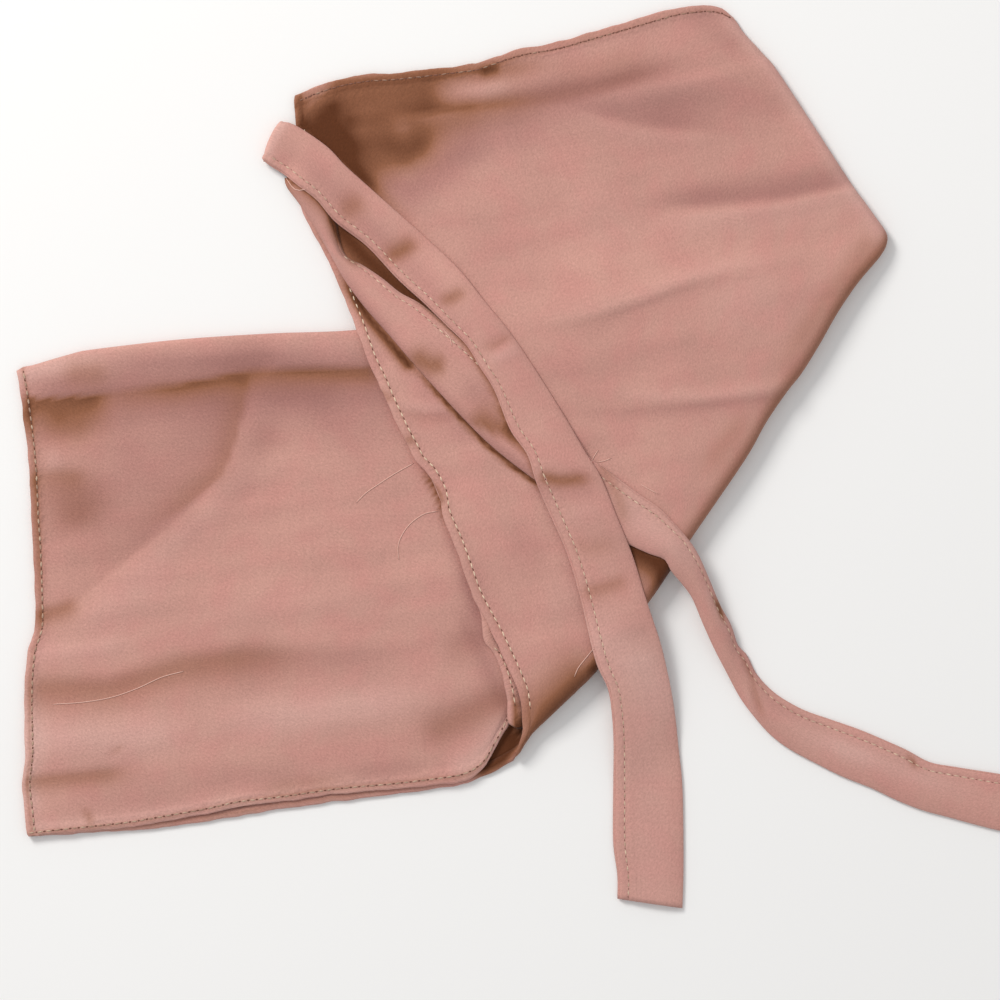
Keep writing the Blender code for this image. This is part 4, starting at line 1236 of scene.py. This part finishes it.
def number(tree, operation, *values):
    return add(tree, "Math", dict(enumerate(values)), operation=operation).outputs[0]


def placed(tree, vector, scale, turn=0.0):
    return add(tree, "Mapping", {"Vector": vector, "Scale": scale, "Rotation": (0, 0, turn)}).outputs[0]


def grain(tree, vector, scale, detail, roughness, distortion=0.0):
    inputs = {"Vector": vector, "Scale": scale, "Detail": detail, "Roughness": roughness, "Distortion": distortion}
    return add(tree, "TexNoise", inputs).outputs[0]


def bands(tree, vector, direction, pitch, distortion):
    """Evenly spaced threads. A wave texture of scale 1 repeats every tenth of pi."""
    inputs = {"Vector": vector, "Scale": math.pi / 10 / pitch, "Distortion": distortion, "Detail": 1.0,
              "Detail Scale": 0.4}
    return add(tree, "TexWave", inputs, bands_direction=direction).outputs["Fac"]


def blended(tree, share, first, second, kind="MIX"):
    """A colour mix. A colour is four numbers, or the socket that gives it."""
    return add(tree, "Mix", {0: share, 6: first, 7: second}, data_type="RGBA", blend_type=kind).outputs[2]


def spread(tree, value, low, high, to_low=0.0, to_high=1.0):
    inputs = {"Value": value, "From Min": low, "From Max": high, "To Min": to_low, "To Max": to_high}
    return add(tree, "MapRange", inputs).outputs["Result"]


def new_group(name, inputs, outputs):
    """A node group whose sockets are named with their kinds, and its input and output nodes."""
    made = bpy.data.node_groups.new(name, "ShaderNodeTree")
    for direction, sockets in (("INPUT", inputs), ("OUTPUT", outputs)):
        for label, kind in sockets.items():
            made.interface.new_socket(label, in_out=direction, socket_type="NodeSocket" + kind)
    return made, made.nodes.new("NodeGroupInput").outputs, made.nodes.new("NodeGroupOutput")


def new_finish(name):
    material = bpy.data.materials.new(name)
    material.use_nodes = True
    return material, material.node_tree, material.node_tree.nodes["Principled BSDF"]


# %% [markdown]
# ## The chiffon
# Crepe chiffon is woven from twisted threads, so it is matte and slightly pebbled, with faint streaks where
# a thread runs thick. Both the veil and the ties show it, so the weave is a node group of its own. It reads
# the cloth's own map, which is unrolled in metres, and so it runs with the threads round every fold.

# %% The weave as a node group
TO_MM = (1000, 1000, 1000)
weave, into, out = new_group(
    "crepe weave", {"Cloth map": "Vector"}, {"Height": "Float", "Grain": "Float", "Streaks": "Float"}
)
in_mm = placed(weave, into["Cloth map"], TO_MM)
slanted = placed(weave, in_mm, (1, 1, 1), 0.6)
pebbles = grain(weave, placed(weave, slanted, (0.72, 1.0, 1.0)), 1.35, 3.0, 0.72, 0.4)
warp, weft = bands(weave, in_mm, "X", 0.46, 1.6), bands(weave, in_mm, "Y", 0.52, 1.6)
threads_height = number(weave, "MULTIPLY", number(weave, "ADD", warp, weft), 0.16)
thick_warp = grain(weave, placed(weave, in_mm, (0.85, 0.012, 1.0)), 1.0, 2.0, 0.6)
thick_weft = grain(weave, placed(weave, in_mm, (0.012, 0.75, 1.0)), 1.0, 2.0, 0.6)
feed(weave, out, {
    "Height": number(weave, "ADD", threads_height, pebbles),
    "Grain": number(weave, "MULTIPLY_ADD", threads_height, 0.6, pebbles),
    "Streaks": number(weave, "MULTIPLY", number(weave, "ADD", thick_warp, thick_weft), 0.5),
})
print("crepe weave has", len(weave.nodes), "nodes")

# %% [markdown]
# ## Its colour
# The colour starts from one dusty rose, with slow random mottles of mauve and pink, and is led towards the
# light and shade that are painted on the mesh: a mauve painted shade, a pale painted highlight over the ridges,
# and through a warm brown to a deep brown painted shade in the hollows and under the ties. The grain and the
# streaks of the weave then make it a little lighter and darker.

# %% The colour with its painted shade, as a node group
# The mauve serves both a slow mottle and a painted shade, the pale colour is a painted highlight, and the two browns
# are painted shade
MAUVE_MOTTLE_AND_SHADE = (0.375, 0.170, 0.150, 1)
PAINTED_HIGHLIGHT_COLOUR = (0.700, 0.430, 0.380, 1)
WARM_PAINTED_SHADE = (0.300, 0.118, 0.060, 1)
DEEP_PAINTED_SHADE = (0.105, 0.026, 0.004, 1)
PINK = (0.600, 0.275, 0.240, 1)
tint, into, out = new_group(
    "chiffon colour",
    {"Rose": "Color", "Tone": "Color", "Cloth map": "Vector", "Grain": "Float", "Streaks": "Float"},
    {"Color": "Color", "Roughness": "Float"},
)
# the painted brown shade, the painted mauve shade and the painted highlight, as painted on the mesh
brown, mauve, pale = add(tint, "SeparateColor", {"Color": into["Tone"]}).outputs
on_cloth = placed(tint, into["Cloth map"], (1, 1, 1))
drift, patches = grain(tint, on_cloth, 24.0, 2.0, 0.5), grain(tint, on_cloth, 70.0, 1.0, 0.5)
colour = into["Rose"]
# two slow random mottles first, then the painted mauve shade, the painted highlight and the painted brown shades
for share, towards in (
    (spread(tint, drift, 0.35, 0.75, 0.0, 0.28), MAUVE_MOTTLE_AND_SHADE),
    (spread(tint, patches, 0.42, 0.68, 0.0, 0.6), PINK),
    (mauve, MAUVE_MOTTLE_AND_SHADE),
    (number(tint, "MULTIPLY", pale, 0.75), PAINTED_HIGHLIGHT_COLOUR),
    (spread(tint, brown, 0.0, 0.68), WARM_PAINTED_SHADE),
    (spread(tint, brown, 0.62, 1.0), DEEP_PAINTED_SHADE),
):
    colour = blended(tint, share, colour, towards)
lighter = number(tint, "ADD", spread(tint, into["Grain"], 0.35, 0.9, 0.8, 1.18),
                 spread(tint, into["Streaks"], 0.35, 0.65, -0.025, 0.025))
as_grey = add(tint, "CombineColor", {0: lighter, 1: lighter, 2: lighter})
feed(tint, out, {
    "Color": blended(tint, 1.0, colour, as_grey.outputs[0], "MULTIPLY"),
    "Roughness": spread(tint, into["Grain"], 0.3, 0.9, 0.92, 0.78),
})
print("chiffon colour has", len(tint.nodes), "nodes")

# %% [markdown]
# ## The finish of the veil and of the ties
# Both join the weave and the colour. Near a seam the cloth is drawn into small puckers, which only the bump
# shows. The ties are pressed harder, so their relief is a little weaker.

# %% The chiffon's finish
PUCKERS_PER_MM = 0.42
PUCKER_SHARE = 3.0
BUMP_DEPTH = 0.3 * MM


def chiffon(name, rose, relief_strength):
    material, tree, shader = new_finish(name)
    cloth_map = add(tree, "UVMap", uv_map="cloth").outputs["UV"]
    tone = add(tree, "Attribute", attribute_name="tone").outputs
    woven = add(tree, "Group", {"Cloth map": cloth_map}, node_tree=weave).outputs
    coloured = add(tree, "Group", {
        "Rose": (*rose, 1), "Tone": tone["Color"], "Cloth map": cloth_map, "Grain": woven["Grain"],
        "Streaks": woven["Streaks"],
    }, node_tree=tint).outputs
    small = grain(tree, placed(tree, cloth_map, TO_MM), PUCKERS_PER_MM, 1.0, 0.5)
    puckers = number(tree, "MULTIPLY", small, tone["Alpha"])
    height = number(tree, "MULTIPLY_ADD", puckers, PUCKER_SHARE, woven["Height"])
    bump = add(tree, "Bump", {"Strength": relief_strength, "Distance": BUMP_DEPTH, "Height": height})
    feed(tree, shader, {
        "Base Color": coloured["Color"], "Roughness": coloured["Roughness"],
        "Normal": bump.outputs["Normal"], "Specular IOR Level": 0.3, "Sheen Weight": 0.12, "Sheen Roughness": 0.5,
    })
    return material


veil_finish = chiffon("veil chiffon", (0.61, 0.322, 0.268), 0.7)
tie_finish = chiffon("tie chiffon", (0.61, 0.320, 0.268), 0.6)
print("finishes:", veil_finish.name, "and", tie_finish.name)

# %% [markdown]
# ## Thread
# The sewing thread is a little glossier than the cloth. On some seams it is cream and on others it nearly
# matches the rose, so its colour follows a number kept on each stitch, with a finer mottle of its own twist.
# The dark brown of the needle's dents is the painted shade of the holes.

# %% The thread and the painted shade of the needle holes
def thread_finish(name, matching, cream):
    material, tree, shader = new_finish(name)
    paleness = add(tree, "Attribute", attribute_name="paleness").outputs["Fac"]
    twist = grain(tree, add(tree, "TexCoord").outputs["Object"], 2600.0, 1.0, 0.5)
    colour = blended(tree, paleness, (*matching, 1), (*cream, 1))
    darker = (*[part * 0.6 for part in matching], 1)
    feed(tree, shader, {
        "Base Color": blended(tree, spread(tree, twist, 0.35, 0.65, 0.0, 0.3), colour, darker),
        "Roughness": spread(tree, twist, 0.3, 0.7, 0.5, 0.7),
    })
    return material


sewing_thread = thread_finish("sewing thread", (0.25, 0.10, 0.065), (0.86, 0.68, 0.50))
# dark browns that paint the shade in the needle holes
needle_hole_shade = thread_finish("needle hole shade", (0.15, 0.055, 0.03), (0.2, 0.08, 0.05))
frayed_thread = thread_finish("frayed thread", (0.80, 0.50, 0.42), (0.86, 0.58, 0.49))
print("finishes:", ", ".join(made.name for made in (sewing_thread, needle_hole_shade, frayed_thread)))

# %% [markdown]
# ## Dressing the solids
# Each piece takes the place of its solid and stays where that solid is. Stitches and loose threads are
# pieces of their own, so that they keep their own finish.

# %% Every piece in place
for piece, node, slot, finish in (
    (wing, "veil_wing", "veil_chiffon", veil_finish),
    (over, "veil_over", "veil_chiffon", veil_finish),
    (tie_lower, "tie_lower", "tie_chiffon", tie_finish),
    (tie_upper, "tie_upper", "tie_chiffon", tie_finish),
):
    piece.data.materials.append(finish)
    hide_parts(node)
    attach(piece, "root")
for piece, slot in (
    (wing_stitches, "veil_chiffon"), (over_stitches, "veil_chiffon"),
    (tie_under_stitches, "tie_chiffon"), (tie_on_top_stitches, "tie_chiffon"),
):
    piece.data.materials.append(sewing_thread)
    piece.data.materials.append(needle_hole_shade)
    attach(piece, "root")
threads.data.materials.append(frayed_thread)
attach(threads, "root")
print("root carries", [piece.name for piece in (wing, over, tie_lower, tie_upper)], "and what is sewn to them")

# %% [markdown]
# ## The sheets
# A wearable or foldable thing starts as flat cloth. Here it is four sheets: the wing, the part folded over it,
# and the two ties, which this cell only names.

# %% The sheets
print("four sheets: the wing, the part folded over, and two ties")

# %% [markdown]
# ## Floor, light and camera
# The floor is plain and pale, the light is a broad soft one from the upper left, and the camera looks
# straight down from far away, so nothing leans.

# %% Floor, light and camera
FLOOR_LEVEL = -0.0005
CAMERA_HEIGHT = 2.4
CAMERA_LENS = 216.0
scene = bpy.context.scene
floor_mesh = bmesh.new()
bmesh.ops.create_grid(floor_mesh, x_segments=1, y_segments=1, size=3.0)
floor = as_object("floor", floor_mesh)
floor.location.z = FLOOR_LEVEL
floor_finish, floor_tree, floor_shader = new_finish("floor")
feed(floor_tree, floor_shader, {"Base Color": (0.9, 0.9, 0.9, 1), "Roughness": 0.9})
floor.data.materials.append(floor_finish)

scene.view_settings.view_transform = "Standard"
world = bpy.data.worlds.new("studio")
world.use_nodes = True
feed(world.node_tree, world.node_tree.nodes["Background"], {"Color": (1.0, 1.0, 1.0, 1), "Strength": 0.62})
scene.world = world

lamp_data = bpy.data.lights.new("upper left", "AREA")
lamp_data.size, lamp_data.energy, lamp_data.color = 0.7, 28.0, (1.0, 0.97, 0.93)
lamp = bpy.data.objects.new("upper left", lamp_data)
lamp.location = (-1.1, 1.2, 1.3)
lamp.rotation_euler = (-lamp.location).to_track_quat("-Z", "Y").to_euler()
scene.collection.objects.link(lamp)

camera_data = bpy.data.cameras.new("camera")
camera_data.sensor_width, camera_data.lens, camera_data.clip_end = 36.0, CAMERA_LENS, 20.0
camera = bpy.data.objects.new("camera", camera_data)
camera.location = (*(laid((500, 500))[0] * MM), CAMERA_HEIGHT)
scene.collection.objects.link(camera)
scene.camera = camera
print("camera", CAMERA_HEIGHT, "m above the floor, looking straight down")
